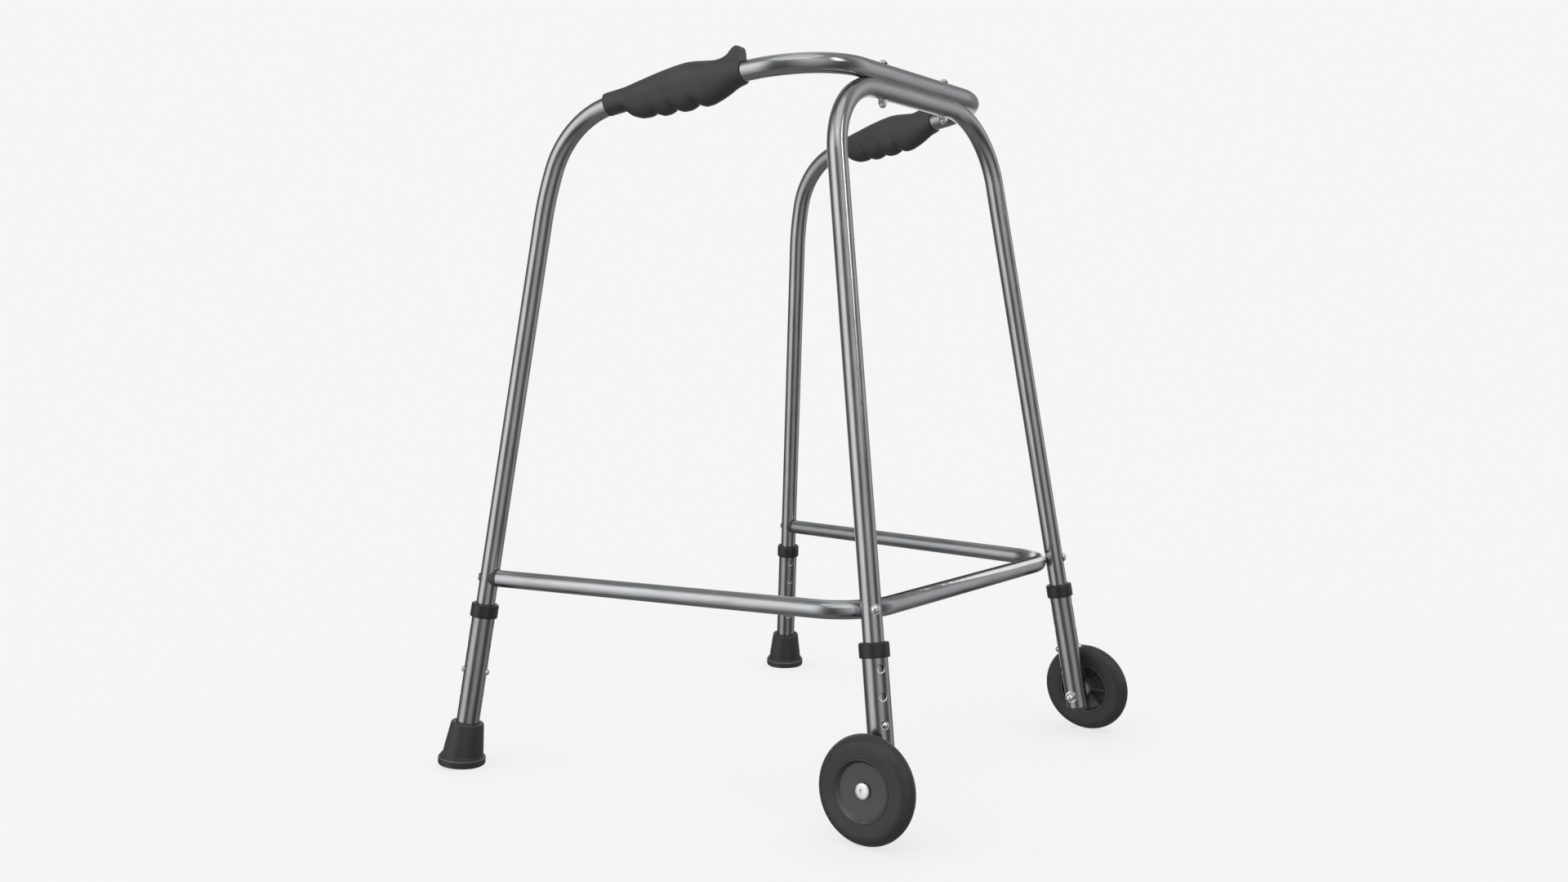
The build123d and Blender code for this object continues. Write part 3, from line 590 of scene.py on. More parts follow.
def tube_mesh(points, tangents, radius):
    """Hollow tube along a path: outer skin with chamfered ends, then the inner skin.
    Returns the mesh, its flow coordinates and the number of outer vertices."""
    normals = carried_normals(points, tangents)
    binormals = np.cross(tangents, normals)
    lengths = np.linalg.norm(np.diff(points, axis=0), axis=1)
    stations = np.concatenate([[0], np.cumsum(lengths)])
    angles = np.linspace(0, 2 * math.pi, TUBE_SEGMENTS, endpoint=False)
    end = len(points) - 1
    # rings: (path index, radius, shift along the path)
    outer = [(0, radius - TUBE_CHAMFER, 0), (0, radius, TUBE_CHAMFER)]
    outer += [(i, radius, 0) for i in range(1, end)]
    outer += [(end, radius, -TUBE_CHAMFER), (end, radius - TUBE_CHAMFER, 0)]
    inner = [(i, radius - FRAME_WALL, 0) for i in range(end, -1, -1)]
    rings, flow = [], []
    for i, r, shift in outer + inner:
        x, y = np.cos(angles) * r, np.sin(angles) * r
        centre = points[i] + tangents[i] * shift
        rings.append(centre + np.outer(x, normals[i]) + np.outer(y, binormals[i]))
        flow.append(np.stack([np.full(TUBE_SEGMENTS, stations[i] + shift), x, y], 1))
    return closed_shell(rings), np.concatenate(flow), len(outer) * TUBE_SEGMENTS


def mirrored(points):
    """A path from the right end to the left, from the points of its left half, end first."""
    return [p * vec(-1, 1, 1) for p in points] + list(reversed(points))


rear_leg, front_leg = legs["rear", "left"], legs["front", "left"]
rear_corner, front_corner = vec(*REAR_BEND), vec(*FRONT_CORNER)
fore = unit(front_corner - rear_corner) * REAR_BEND_FORE
down = -rear_leg.up * REAR_BEND_DOWN
handle_corners = mirrored([
    rear_leg.at(TUBE_END["rear"]),
    rear_corner + down,
    rear_corner + (fore + down) * REAR_BEND_MID,
    rear_corner + fore,
    front_corner,
])
handle_radii = (*REAR_BEND_RADII, FRONT_CORNER_RADIUS, FRONT_CORNER_RADIUS,
                *reversed(REAR_BEND_RADII))
front_corners = mirrored([front_leg.at(TUBE_END["front"]), vec(*FRONT_BEND)])
front_radii = (FRONT_BEND_RADIUS, FRONT_BEND_RADIUS)
# the brace starts a little ahead of the rear legs' axes
brace_cross = rear_leg.at(BRACE_HEIGHT / rear_leg.up[2])
brace_corner = vec(*BRACE_CORNER, BRACE_HEIGHT)
brace_end = brace_cross + unit(brace_corner - brace_cross) * BRACE_START
brace_corners = mirrored([brace_end, brace_corner])

handle_path, handle_tangents = fillet_path(handle_corners, handle_radii)
front_path = fillet_path(front_corners, front_radii)
brace_path = fillet_path(brace_corners, (BRACE_CORNER_RADIUS, BRACE_CORNER_RADIUS))


def press_seat(verts, outer_count):
    """Press the seat for the front tube into the underside of the handle's front run."""
    path, _ = fillet_path(front_corners, front_radii, step=1.0, arc_step=0.5)
    path = path[path[:, 2] > 780]
    x, y, z = verts.T
    near_run = (np.abs(y - FRONT_CORNER[1]) < 16) & (z > 885) & (z < 916) & (np.abs(x) < 215)
    for i in np.where(near_run)[0]:
        offsets = verts[i] - path
        nearest = path[np.argmin((offsets * offsets).sum(1))]
        offset = verts[i] - nearest
        distance = np.linalg.norm(offset)
        clear = FRAME_RADIUS + GAP + (0.0 if i < outer_count else FRAME_WALL)
        if distance < clear:
            verts[i] = nearest + offset / distance * clear


mesh, flow, outer_count = tube_mesh(handle_path, handle_tangents, FRAME_RADIUS)
press_seat(mesh[0], outer_count)
piece("handle_tube_bent", mesh, "frame", "handle_tube", "frame_tube", flow=flow)
mesh, flow, _ = tube_mesh(*front_path, FRAME_RADIUS)
piece("front_tube_bent", mesh, "frame", "front_tube", "frame_tube", flow=flow)
mesh, flow, _ = tube_mesh(*brace_path, BRACE_RADIUS)
piece("brace_tube_bent", mesh, "frame", "brace_tube", "frame_tube", material="brace_tube",
      flow=flow)

# ---------------------------------------------------------------- hand grips
# (station forward from the rear bend, height above the line from rear bend to front corner)
GRIP_TOP = (
    (75, 8.4), (79, 9.3), (92, 10.4), (109, 11.7), (126, 14.5), (148, 18.3), (167, 21.5),
    (187, 24.2), (203, 25.2), (214, 24.4), (228, 22.4), (241, 20.6), (246, 20.3), (252, 19.6),
    (262, 18.4), (281, 16.6))
# underside through the finger notches
GRIP_BOTTOM = (
    (75, -20.3), (79, -19.9), (92, -18.9), (104, -18.1), (106, -18.2), (108, -21.3), (112, -25.5),
    (120, -29.5), (128, -31.7), (137, -32.0), (144, -30.6), (147.4, -29.3), (148.6, -29.6),
    (153, -31.9), (160, -33.9), (168, -33.5), (174, -31.9), (179.4, -29.3), (180.6, -29.6),
    (185, -32.0), (192, -33.9), (199, -33.7), (207, -31.2), (211.4, -28.8), (212.6, -29.1),
    (218, -31.3), (223, -32.9), (230, -32.5), (242, -29.4), (255, -24.2), (267, -18.4),
    (281, -14.6))
# underside with the notches filled
GRIP_HULL = (
    (75, -20.3), (92, -18.9), (104, -19.6), (112, -26.5), (120, -30.4), (130, -32.6),
    (148, -33.7), (164, -34.6), (180, -34.8), (196, -34.7), (212, -34.2), (226, -33.2),
    (242, -29.6), (255, -24.3), (267, -18.4), (281, -14.6))
# top of the narrow horn on the front end
HORN_TOP = (
    (238, 12.0), (244, 18.0), (247.5, 18.7), (251, 19.3), (256, 20.7), (262, 23.7), (266, 27.3),
    (270, 30.5), (273.5, 31.5), (276.5, 30.9), (279, 29.8), (281, 28.8))
# (station, half width)
GRIP_WIDTH = (
    (75, 14.3), (104, 14.9), (118, 16.2), (135, 17.6), (160, 18.8), (185, 19.4), (210, 19.2),
    (235, 18.2), (255, 17.0), (270, 16.0), (281, 15.4))
GRIP_REAR, GRIP_FRONT, HORN_START = 78.0, 279.0, 236
GRIP_SEGMENTS, GRIP_BORE = 176, FRAME_RADIUS + GAP
# (start, stop, step), finer at the notches
GRIP_RUNS = (
    (GRIP_REAR, 104, 2.0), (104, 116, 0.75), (116, 143, 1.5), (143, 154, 0.75), (154, 175, 1.5),
    (175, 186, 0.75), (186, 207, 1.5), (207, 218, 0.75), (218, 240, 1.5),
    (240, GRIP_FRONT + 0.01, 1.0))


def superellipse(across, upward, power):
    return 1.0 / (across ** power + upward ** power) ** (1 / power)


def grip_radii(s, axis_height, cosines, sines):
    """Radius round the tube's axis at station s; sines are positive above the axis."""
    top = hermite(GRIP_TOP, s) - axis_height
    # the finger notches fade up the sides and lean back as they climb
    lower = smooth(-sines, 0.12, 0.80)
    lean = 9.0 * (1.0 - np.clip(-sines, 0, 1)) ** 0.8
    leaning = np.where(sines < 0, s + lean * smooth(s, 100, 112), s)
    notch = hermite(GRIP_BOTTOM, leaning) - hermite(GRIP_HULL, leaning)
    bottom = axis_height - hermite(GRIP_HULL, s) - notch * lower
    radii = superellipse(np.abs(cosines) / hermite(GRIP_WIDTH, s),
                         np.abs(sines) / np.where(sines >= 0, top, bottom), 2.25)
    radii = radii - notch * lower * (1 - lower) * 0.5
    if s > HORN_START:
        # the horn is a squarer section, blended softly into the grip
        height = hermite(HORN_TOP, s) - axis_height
        half_width = 9.6 + 2.6 * (1 - smooth(s, 246, 268)) + 0.02 * height
        horn = superellipse(np.abs(cosines) / half_width, np.maximum(sines, 1e-6) / height, 7)
        horn = np.where(sines > 0.02, horn, 0.0)
        soft = 2.4
        share = np.clip(0.5 + 0.5 * (horn - radii) / soft, 0, 1)
        radii = radii * (1 - share) + horn * share + soft * share * (1 - share)
    return radii


def grip_mesh(sx):
    mirror = vec(sx, 1, 1)
    origin = rear_corner * mirror
    ahead = unit(front_corner * mirror - origin)
    up = perpendicular(UP, ahead)
    out = perpendicular(vec(sx, 0, 0), ahead, up)
    # the handle tube's own line near the grip, as height and outward offset per station
    from_origin = handle_path - origin
    along = from_origin @ ahead
    near = np.where((handle_path[:, 0] * sx > 0) & (handle_path[:, 2] > 800)
                    & (along > 40) & (along < 300))[0]
    near = near[np.argsort(along[near])]
    heights, widths = from_origin[near] @ up, from_origin[near] @ out
    angles = np.linspace(0, 2 * math.pi, GRIP_SEGMENTS, endpoint=False)
    cosines, sines = np.cos(angles), np.sin(angles)

    def axis_point(s):
        height = np.interp(s, along[near], heights)
        width = np.interp(s, along[near], widths)
        return origin + ahead * s + up * height + out * width, height

    def ring(s, shrink=0.0, shift=0.0, radius=None):
        centre, height = axis_point(s)
        tangent = unit(axis_point(s + 1.0)[0] - axis_point(s - 1.0)[0])
        ring_up = perpendicular(up, tangent)
        ring_out = unit(np.cross(ring_up, tangent))
        if ring_out @ out < 0:
            ring_out = -ring_out
        if radius is None:
            radius = grip_radii(s, height, cosines, sines) - shrink
            radius = np.maximum(radius, GRIP_BORE + 0.6)
        return (centre + tangent * shift + np.outer(cosines * radius, ring_out)
                + np.outer(sines * radius, ring_up))

    stations = np.concatenate([np.arange(*run) for run in GRIP_RUNS])
    rear, front = stations[0], stations[-1]
    # rear end face with a rounded lip
    rings = [
        ring(rear, radius=GRIP_BORE, shift=0.4),
        ring(rear, radius=GRIP_BORE + 0.5),
        ring(rear, shrink=0.9),
        ring(rear, shrink=0.45, shift=0.15),
        ring(rear, shrink=0.12, shift=0.5),
    ]
    rings += [ring(s) for s in stations[1:-2]]
    # flat front face
    rings += [
        ring(front, shift=-0.9),
        ring(front, shrink=0.1, shift=-0.45),
        ring(front, shrink=0.35, shift=-0.15),
        ring(front, shrink=0.8),
        ring(front, shrink=2.4),
        ring(front, radius=GRIP_BORE + 0.5),
        ring(front, radius=GRIP_BORE, shift=-0.5),
    ]
    # back along the bore
    rings += [ring(s, radius=GRIP_BORE) for s in stations[::-1][3:-1:2]]
    return closed_shell(rings)


for side, sx in SIDES:
    piece(f"{side}_grip_moulded", grip_mesh(sx), "frame", f"{side}_grip", "grip", sharp=42)

# ---------------------------------------------------------------- leg sleeves, collars, buttons
PATCH_HALF, PATCH_CELLS = 7.2, 8            # square patch of the skin round each hole
SLEEVE_CHAMFER, SLEEVE_ROW = 0.3, 8         # row: rough spacing of rings between patches
# outer rim of a hole: (added to the hole's radius, depth below the outer skin)
HOLE_RIM = ((0.78, 0.05), (0.52, 0.15), (0.25, 0.30), (0.06, 0.50), (0.0, 0.75))


def sleeve_mesh(leg, bottom, top):
    """Hollow sleeve with holes on two opposite sides, in quads.
    Returns the mesh, its flow coordinates and the numbers of the rim faces."""
    cells = PATCH_CELLS
    half_angle = math.asin(PATCH_HALF / SLEEVE_RADIUS)
    strip = np.linspace(-half_angle, half_angle, cells + 1)
    rest = np.linspace(half_angle, math.pi - half_angle, 23)[1:-1]
    theta = np.concatenate([strip, rest, strip + math.pi, rest + math.pi])
    # (first column, angle) of the two strips that hold holes
    strips = ((0, 0.0), (len(strip) + len(rest), math.pi))
    centres = [BUTTON_STATION + k * HOLE_PITCH for k in HOLE_STEPS]

    def rows_between(start, end):
        return list(np.linspace(start, end, int((end - start) / SLEEVE_ROW) + 1)[1:])

    rows = [bottom + SLEEVE_CHAMFER]
    for centre in centres:
        rows += rows_between(rows[-1], centre - PATCH_HALF)
        rows += list(np.linspace(rows[-1], centre + PATCH_HALF, cells + 1)[1:])
    rows = np.array(rows + rows_between(rows[-1], top - SLEEVE_CHAMFER))
    across = np.cross(leg.up, leg.holes)
    verts, faces, flow, rims = [], [], [], []

    def put(station, angle, r):
        x, y = r * math.cos(angle), r * math.sin(angle)
        verts.append(leg.at(station) + leg.holes * x + across * y)
        flow.append((station, x, y))
        return len(verts) - 1

    def skin(r, rim):
        """One cylindrical skin. Returns its end loops and (station, angle, bearings, loop)
        of each hole."""
        grid = [[put(s, t, r) for t in theta] for s in rows]
        skip, holes = set(), []
        for centre in centres:
            i0 = int(np.argmin(np.abs(rows - (centre - PATCH_HALF))))
            for j0, facing in strips:
                i1, j1 = i0 + cells, j0 + cells
                skip.update((i, j) for i in range(i0, i1) for j in range(j0, j1))
                edge = ([(i0, j) for j in range(j0, j1)] + [(i, j1) for i in range(i0, i1)]
                        + [(i1, j) for j in range(j1, j0, -1)]
                        + [(i, j0) for i in range(i1, i0, -1)])
                loop = [grid[i][j] for i, j in edge]
                offsets = [(rows[i] - centre, theta[j] - facing) for i, j in edge]
                bearings = [math.atan2(r * math.sin(t), s) for s, t in offsets]
                # the patch's square edge closes in on the round rim in three steps
                for step in (0.45, 0.8, 1.0):
                    closer = []
                    for (s, t), bearing in zip(offsets, bearings):
                        rim_s = rim * math.cos(bearing)
                        rim_t = math.asin(rim * math.sin(bearing) / r)
                        closer.append(put(centre + s + (rim_s - s) * step,
                                          facing + t + (rim_t - t) * step, r))
                    faces.extend(bridge(loop, closer))
                    loop = closer
                holes.append((centre, facing, bearings, loop))
        for i in range(len(rows) - 1):
            quads = bridge(grid[i], grid[i + 1])
            faces.extend(quad for j, quad in enumerate(quads) if (i, j) not in skip)
        return grid[0], grid[-1], holes

    outer_low, outer_high, outer_holes = skin(SLEEVE_RADIUS, HOLE_RADIUS + 1.0)
    inner_low, inner_high, inner_holes = skin(SLEEVE_BORE, HOLE_RADIUS)
    for (centre, facing, bearings, outer), (*_, inner) in zip(outer_holes, inner_holes):
        loops = [outer]
        for extra, depth in HOLE_RIM:
            rim, r = HOLE_RADIUS + extra, SLEEVE_RADIUS - depth
            loops.append([put(centre + rim * math.cos(b),
                              facing + math.asin(rim * math.sin(b) / r), r) for b in bearings])
        rim_faces = bridge_all(loops)
        rims += range(len(faces), len(faces) + len(rim_faces))
        faces += rim_faces + bridge(loops[-1], inner)
    for outer, inner, end in ((outer_low, inner_low, bottom), (outer_high, inner_high, top)):
        wide = [put(end, t, SLEEVE_RADIUS - SLEEVE_CHAMFER) for t in theta]
        narrow = [put(end, t, SLEEVE_BORE + SLEEVE_CHAMFER) for t in theta]
        faces += bridge_all([outer, wide, narrow, inner])
    return (np.array(verts), faces), np.array(flow), rims


def collar_mesh(leg, bottom, top):
    """Skirt over the sleeve, guide bush inside it and a softly rounded top edge."""
    sleeve_top = top - COLLAR_LIP
    bore, bush = FRAME_RADIUS + 0.08, SLEEVE_BORE - GAP
    # (radius, station, corner radius)
    outline = (
        (bore, bottom - 4, 0.3), (bush, bottom - 4, 0.3), (bush, sleeve_top + GAP, 0.1),
        (SLEEVE_RADIUS + GAP, sleeve_top + GAP, 0.1), (SLEEVE_RADIUS + GAP, bottom, 0.25),
        (COLLAR_RADIUS - 0.15, bottom, 0.7), (COLLAR_RADIUS, bottom + 5, 0),
        (COLLAR_RADIUS - 0.1, top - 1.6, 0.9), (COLLAR_RADIUS - 1.4, top - 0.05, 0.8),
        (FRAME_RADIUS + 1.3, top, 0.5), (bore, top - 1.3, 0.3))
    profile = rounded([p[:2] for p in outline], [p[2] for p in outline], count=5)
    return lathe(leg.foot, leg.up, leg.holes, profile, seg=112)


def button_mesh(leg, direction):
    """Flanged pin with a domed tip, pointing along direction."""
    radius, base = BUTTON_RADIUS, 8.75
    sphere = (radius ** 2 + BUTTON_DOME ** 2) / (2 * BUTTON_DOME)
    half_angle = math.asin(radius / sphere)
    dome = [(sphere * math.sin(a), BUTTON_TIP - sphere + sphere * math.cos(a))
            for a in np.linspace(half_angle, 0, 12)]
    profile = [
        (0.0, base), (4.9, base), (5.2, 8.9), (5.2, 9.6), (5.05, 9.75), (4.3, 9.75),
        (radius, 10.0), (radius, BUTTON_TIP - BUTTON_DOME - 0.25), *dome[1:-1], (0.0, BUTTON_TIP)]
    return lathe(leg.at(BUTTON_STATION), direction, leg.up, profile, seg=56, closed=False)


for end in ("rear", "front"):
    for side, _ in SIDES:
        leg = legs[end, side]
        prefix = f"{end}_{side}"
        body = f"{prefix}_leg"
        mesh, flow, rims = sleeve_mesh(leg, SLEEVE_BOTTOM[end], COLLARS[end][1] - COLLAR_LIP)
        ob = piece(f"{prefix}_sleeve_drilled", mesh, body, f"{body}_sleeve", "leg_sleeve",
                   flow=flow)
        second_material(ob, "cut_edge", rims)
        piece(f"{prefix}_collar_moulded", collar_mesh(leg, *COLLARS[end]), body,
              f"{body}_collar", "collar_plastic", sharp=50)
        for face, sign in (("front", 1.0), ("rear", -1.0)):
            name = f"{prefix}_button_{face}"
            piece(f"{name}_domed", button_mesh(leg, leg.holes * sign), name, name,
                  "snap_button", sharp=35)

# ---------------------------------------------------------------- rear ferrules
FERRULE_SEGMENTS = 128
# one ring groove in the sole: (added to its inner radius, height)
SOLE_GROOVE = ((0, 0.0), (0.4, 0.05), (0.45, 1.5), (2.75, 1.5), (2.8, 0.05), (3.2, 0.0))
# foot, square to the axis between leg and upright: (radius, height)
FERRULE_FOOT = [(start + r, h) for start in (8.4, 15.8, 23.2) for r, h in SOLE_GROOVE] + [
    (29.2, 0.0), (30.0, 0.2), (30.7, 0.75), (31.05, 1.5), (31.2, 2.6), (31.3, 5.0), (31.35, 8.0),
    (31.3, 9.0), (31.0, 9.75), (30.5, 10.15), (29.9, 10.3), (29.35, 10.45), (29.1, 10.8),
    (29.0, 11.6), (28.8, 12.6), (28.35, 13.2), (27.75, 13.5)]
HIGHLIGHT_ROWS = (25, 27)                      # rings of the foot's upper edge, given a painted highlight
SOCKET_FLOOR = 9.25
# body and socket: (radius, height, share of the leg's axis)
FERRULE_BODY = (
    (27.2, 13.9, 0.5), (26.95, 14.8, 0.8), (26.75, 16.2, 1.0), (25.7, 26.0, 1.0),
    (24.0, 39.0, 1.0), (22.3, 52.0, 1.0), (21.9, 55.2, 1.0), (21.7, 56.4, 1.0), (21.3, 57.3, 1.0),
    (20.6, 57.85, 1.0), (19.4, 58.0, 1.0), (16.6, 58.0, 1.0), (15.8, 57.9, 1.0),
    (15.35, 57.6, 1.0), (15.25, 57.1, 1.0), (15.25, SOCKET_FLOOR, 1.0))


def ferrule_mesh(leg):
    foot_axis = unit(leg.up + UP)
    tilt = math.acos(foot_axis[2])
    base = leg.at((FERRULE_RADIUS * math.sin(tilt) - FERRULE_SINK) / leg.up[2])
    toward = perpendicular(leg.holes, foot_axis)

    def ring(radius, height, share=0.0):
        """share 0 is the foot's frame, 1 the leg's."""
        axis = foot_axis * (1 - share) + leg.up * share
        centre = (base + foot_axis * height) * (1 - share) + leg.at(height) * share
        return circle(centre, axis, toward, radius, FERRULE_SEGMENTS)

    rings = [ring(*row) for row in (*FERRULE_FOOT, *FERRULE_BODY)]
    verts, faces = capped_shell(base, rings, leg.at(SOCKET_FLOOR))
    # the foot is pressed flat on the floor
    foot = verts[:1 + len(FERRULE_FOOT) * FERRULE_SEGMENTS]
    foot[:, 2] = np.maximum(foot[:, 2], 0.0)
    return verts, faces


for side, _ in SIDES:
    ob = piece(f"{side}_ferrule_moulded", ferrule_mesh(legs["rear", side]), f"rear_{side}_leg",
               f"{side}_ferrule", "ferrule_rubber", sharp=40)
    # painted highlight along the foot's upper edge
    second_material(ob, "ferrule_highlight_edge", range(*(row * FERRULE_SEGMENTS for row in HIGHLIGHT_ROWS)))

# ---------------------------------------------------------------- wheels
RIM_RADIUS = 36.0
# outer half of the tyre, bead to tread: (radius, distance from the wheel's mid plane)
TYRE_HALF = [
    (RIM_RADIUS, 11.5), (36.1, 11.9), (36.45, 12.15), (37.2, 12.3), (38.5, 12.4), (42.0, 12.65),
    (46.0, 12.88), (49.5, 12.97), (52.0, 12.7), (54.6, 11.9), (56.9, 10.6), (58.8, 8.9),
    (60.3, 6.9), (61.4, 4.7), (62.15, 2.4), (62.45, 0.8)]
# hub, dished outside and recessed inside: (radius, distance outward, corner radius)
HUB_OUTLINE = (
    (6.1, -12.6, 0.4), (12.0, -12.6, 0.9), (12.9, -2.0, 1.6), (31.4, -2.0, 1.6),
    (33.6, -11.8, 0.8), (RIM_RADIUS - GAP, -11.8, 0.3), (RIM_RADIUS - GAP, 12.3, 0.25),
    (35.2, 12.45, 0.35), (34.7, 12.2, 0.5), (31.2, 7.4, 1.1), (6.1, 7.4, 0.3))
RIB_COUNT, RIB_ENDS = 8, (11.6, 33.2)
RIB_SECTION = ((-1.4, 1.25), (-9.7, 0.95), (-10.2, 0.55))      # (distance outward, half width)
RIB_FACES = ((0, 2, 3, 1), (2, 4, 5, 3), (6, 7, 9, 8), (8, 9, 11, 10), (0, 1, 7, 6),
             (4, 10, 11, 5), (0, 6, 8, 2), (2, 8, 10, 4), (1, 3, 9, 7), (3, 5, 11, 9))
BOLT_SEGMENTS = 96
BOLT_HEAD, BOLT_TAIL = WHEEL_OFFSET + 8.1, -(SLEEVE_RADIUS + GAP + 7.1)
# bolt from tail to socket floor: (radius, distance outward from the leg, share of hexagon)
BOLT_ROWS = [(3.4, BOLT_TAIL, 0), (4.0, BOLT_TAIL + 0.6, 0)] + [
    (radius, BOLT_HEAD + height, six) for radius, height, six in (
        (4.0, 0, 0), (9.3, 0, 0), (9.6, 0.25, 0), (9.6, 1.1, 0), (9.45, 1.6, 0), (9.0, 2.0, 0),
        (8.0, 2.3, 0), (6.4, 2.55, 0), (4.6, 2.72, 0), (3.4, 2.78, 0.5), (2.75, 2.74, 1),
        (2.55, 2.5, 1), (2.5, 0.9, 1))]


def tyre_mesh(centre, leg):
    """Flat sidewalls with a bead, round shoulders and a crowned tread."""
    inner_half = [(r, -h) for r, h in reversed(TYRE_HALF)]
    profile = TYRE_HALF + inner_half + [(RIM_RADIUS, -6.0), (RIM_RADIUS, 6.0)]
    return lathe(centre, leg.axle, leg.up, profile, seg=160)


def hub_mesh(centre, leg):
    """Turned hub with radial ribs in its inner recess."""
    profile = rounded([p[:2] for p in HUB_OUTLINE], [p[2] for p in HUB_OUTLINE])
    verts, faces = lathe(centre, leg.axle, leg.up, profile, seg=144)
    verts = list(verts)
    upright = perpendicular(UP, leg.axle)
    level = np.cross(leg.axle, upright)
    for k in range(RIB_COUNT):
        angle = 2 * math.pi * k / RIB_COUNT
        spoke = upright * math.cos(angle) + level * math.sin(angle)
        across = np.cross(leg.axle, spoke)
        first = len(verts)
        verts += [centre + spoke * r + leg.axle * height + across * half_width * sign
                  for r in RIB_ENDS for height, half_width in RIB_SECTION for sign in (-1, 1)]
        faces += [tuple(first + i for i in face) for face in RIB_FACES]
    return np.array(verts), faces


def bolt_mesh(leg):
    """Axle bolt with a broad, nearly flat head and a hexagon socket."""
    origin = leg.at(AXLE_STATION)
    angles = np.linspace(0, 2 * math.pi, BOLT_SEGMENTS, endpoint=False)
    hexagon = 1.0 / np.cos((angles + math.pi / 6) % (math.pi / 3) - math.pi / 6)
    rings = [circle(origin + leg.axle * height, leg.axle, leg.up,
                    radius * (1 - six + six * hexagon), BOLT_SEGMENTS)
             for radius, height, six in BOLT_ROWS]
    tail, socket = (origin + leg.axle * BOLT_ROWS[i][1] for i in (0, -1))
    return capped_shell(tail, rings, socket)


for side, _ in SIDES:
    leg = legs["front", side]
    centre = leg.at(AXLE_STATION) + leg.axle * WHEEL_OFFSET
    wheel = f"{side}_wheel"
    piece(f"{side}_tyre_moulded", tyre_mesh(centre, leg), wheel, f"{wheel}_tyre", "wheel_tyre",
          sharp=50)
    piece(f"{side}_hub_moulded", hub_mesh(centre, leg), wheel, f"{wheel}_hub", "wheel_hub",
          sharp=34)
    piece(f"{side}_axle_bolt_socketed", bolt_mesh(leg), f"front_{side}_leg", f"{side}_axle_bolt",
          "bright_hardware", material="axle", sharp=34)

# ---------------------------------------------------------------- the CAD nodes that stay visible
slots = {s["node"]: s["material_slot"] for s in frame["record"]["subparts"]}
for name, ob in frame["nodes"].items():
    if ob.hide_render:
        continue
    ob.data.materials.clear()
    ob.data.materials.append(MATERIALS[slots[name]])

# ---------------------------------------------------------------- camera, in metres
scene = bpy.context.scene
CAMERA_YAW, CAMERA_PITCH = math.radians(53.513), math.radians(3.75)
AWAY_X, AWAY_Y = math.sin(CAMERA_YAW), math.cos(CAMERA_YAW)     # level, away from the camera


def add_object(name, data):
    ob = bpy.data.objects.new(name, data)
    scene.collection.objects.link(ob)
    return ob


def aim(ob, direction):
    ob.rotation_mode = "QUATERNION"
    ob.rotation_quaternion = direction.to_track_quat("-Z", "Y")


camera = add_object("camera", bpy.data.cameras.new("camera"))
camera.location = (-1.55995, -1.10563, 0.55234)
level = math.cos(CAMERA_PITCH)
aim(camera, Vector((AWAY_X * level, AWAY_Y * level, -math.sin(CAMERA_PITCH))))
camera.data.sensor_width = 36.0
camera.data.lens = 31.473
camera.data.clip_start, camera.data.clip_end = 0.05, 200.0
scene.camera = camera

# ---------------------------------------------------------------- world
PALE = 0.915                                # backdrop and open floor
# what reflections see: (degrees round the object, 0 at the camera, positive to its right; glow)
AZIMUTH_GLOW = (
    (-180, .30), (-150, .22), (-132, .11), (-110, .10), (-99, .22), (-90, .60), (-80, .95),
    (-68, 1.22), (-48, 1.18), (-38, .70), (-29, .16), (-18, .08), (-9, .12), (0, .30), (10, .50),
    (20, .62), (34, .58), (46, .30), (57, .08), (72, .06), (83, .16), (93, .36), (104, .62),
    (114, .58), (126, .30), (150, .22), (180, .30))
# (degrees above the horizon, factor on that glow)
ELEVATION_GLOW = (
    (-90, .30), (-54, .30), (-39, .38), (-24, .54), (-8, .80), (8, 1.0), (24, 1.06), (40, .90),
    (56, .60), (72, .40), (90, .40))
POLE_GLOW = (.19, .34)                      # straight down, straight up
# diffuse light: grows with the direction's z over a span, and is stronger from the left
SKY_SPAN, SKY_LIGHT, SKY_LEFT_RIGHT = (-0.5, 0.7), (0.33, 1.12), (1.24, 0.70)


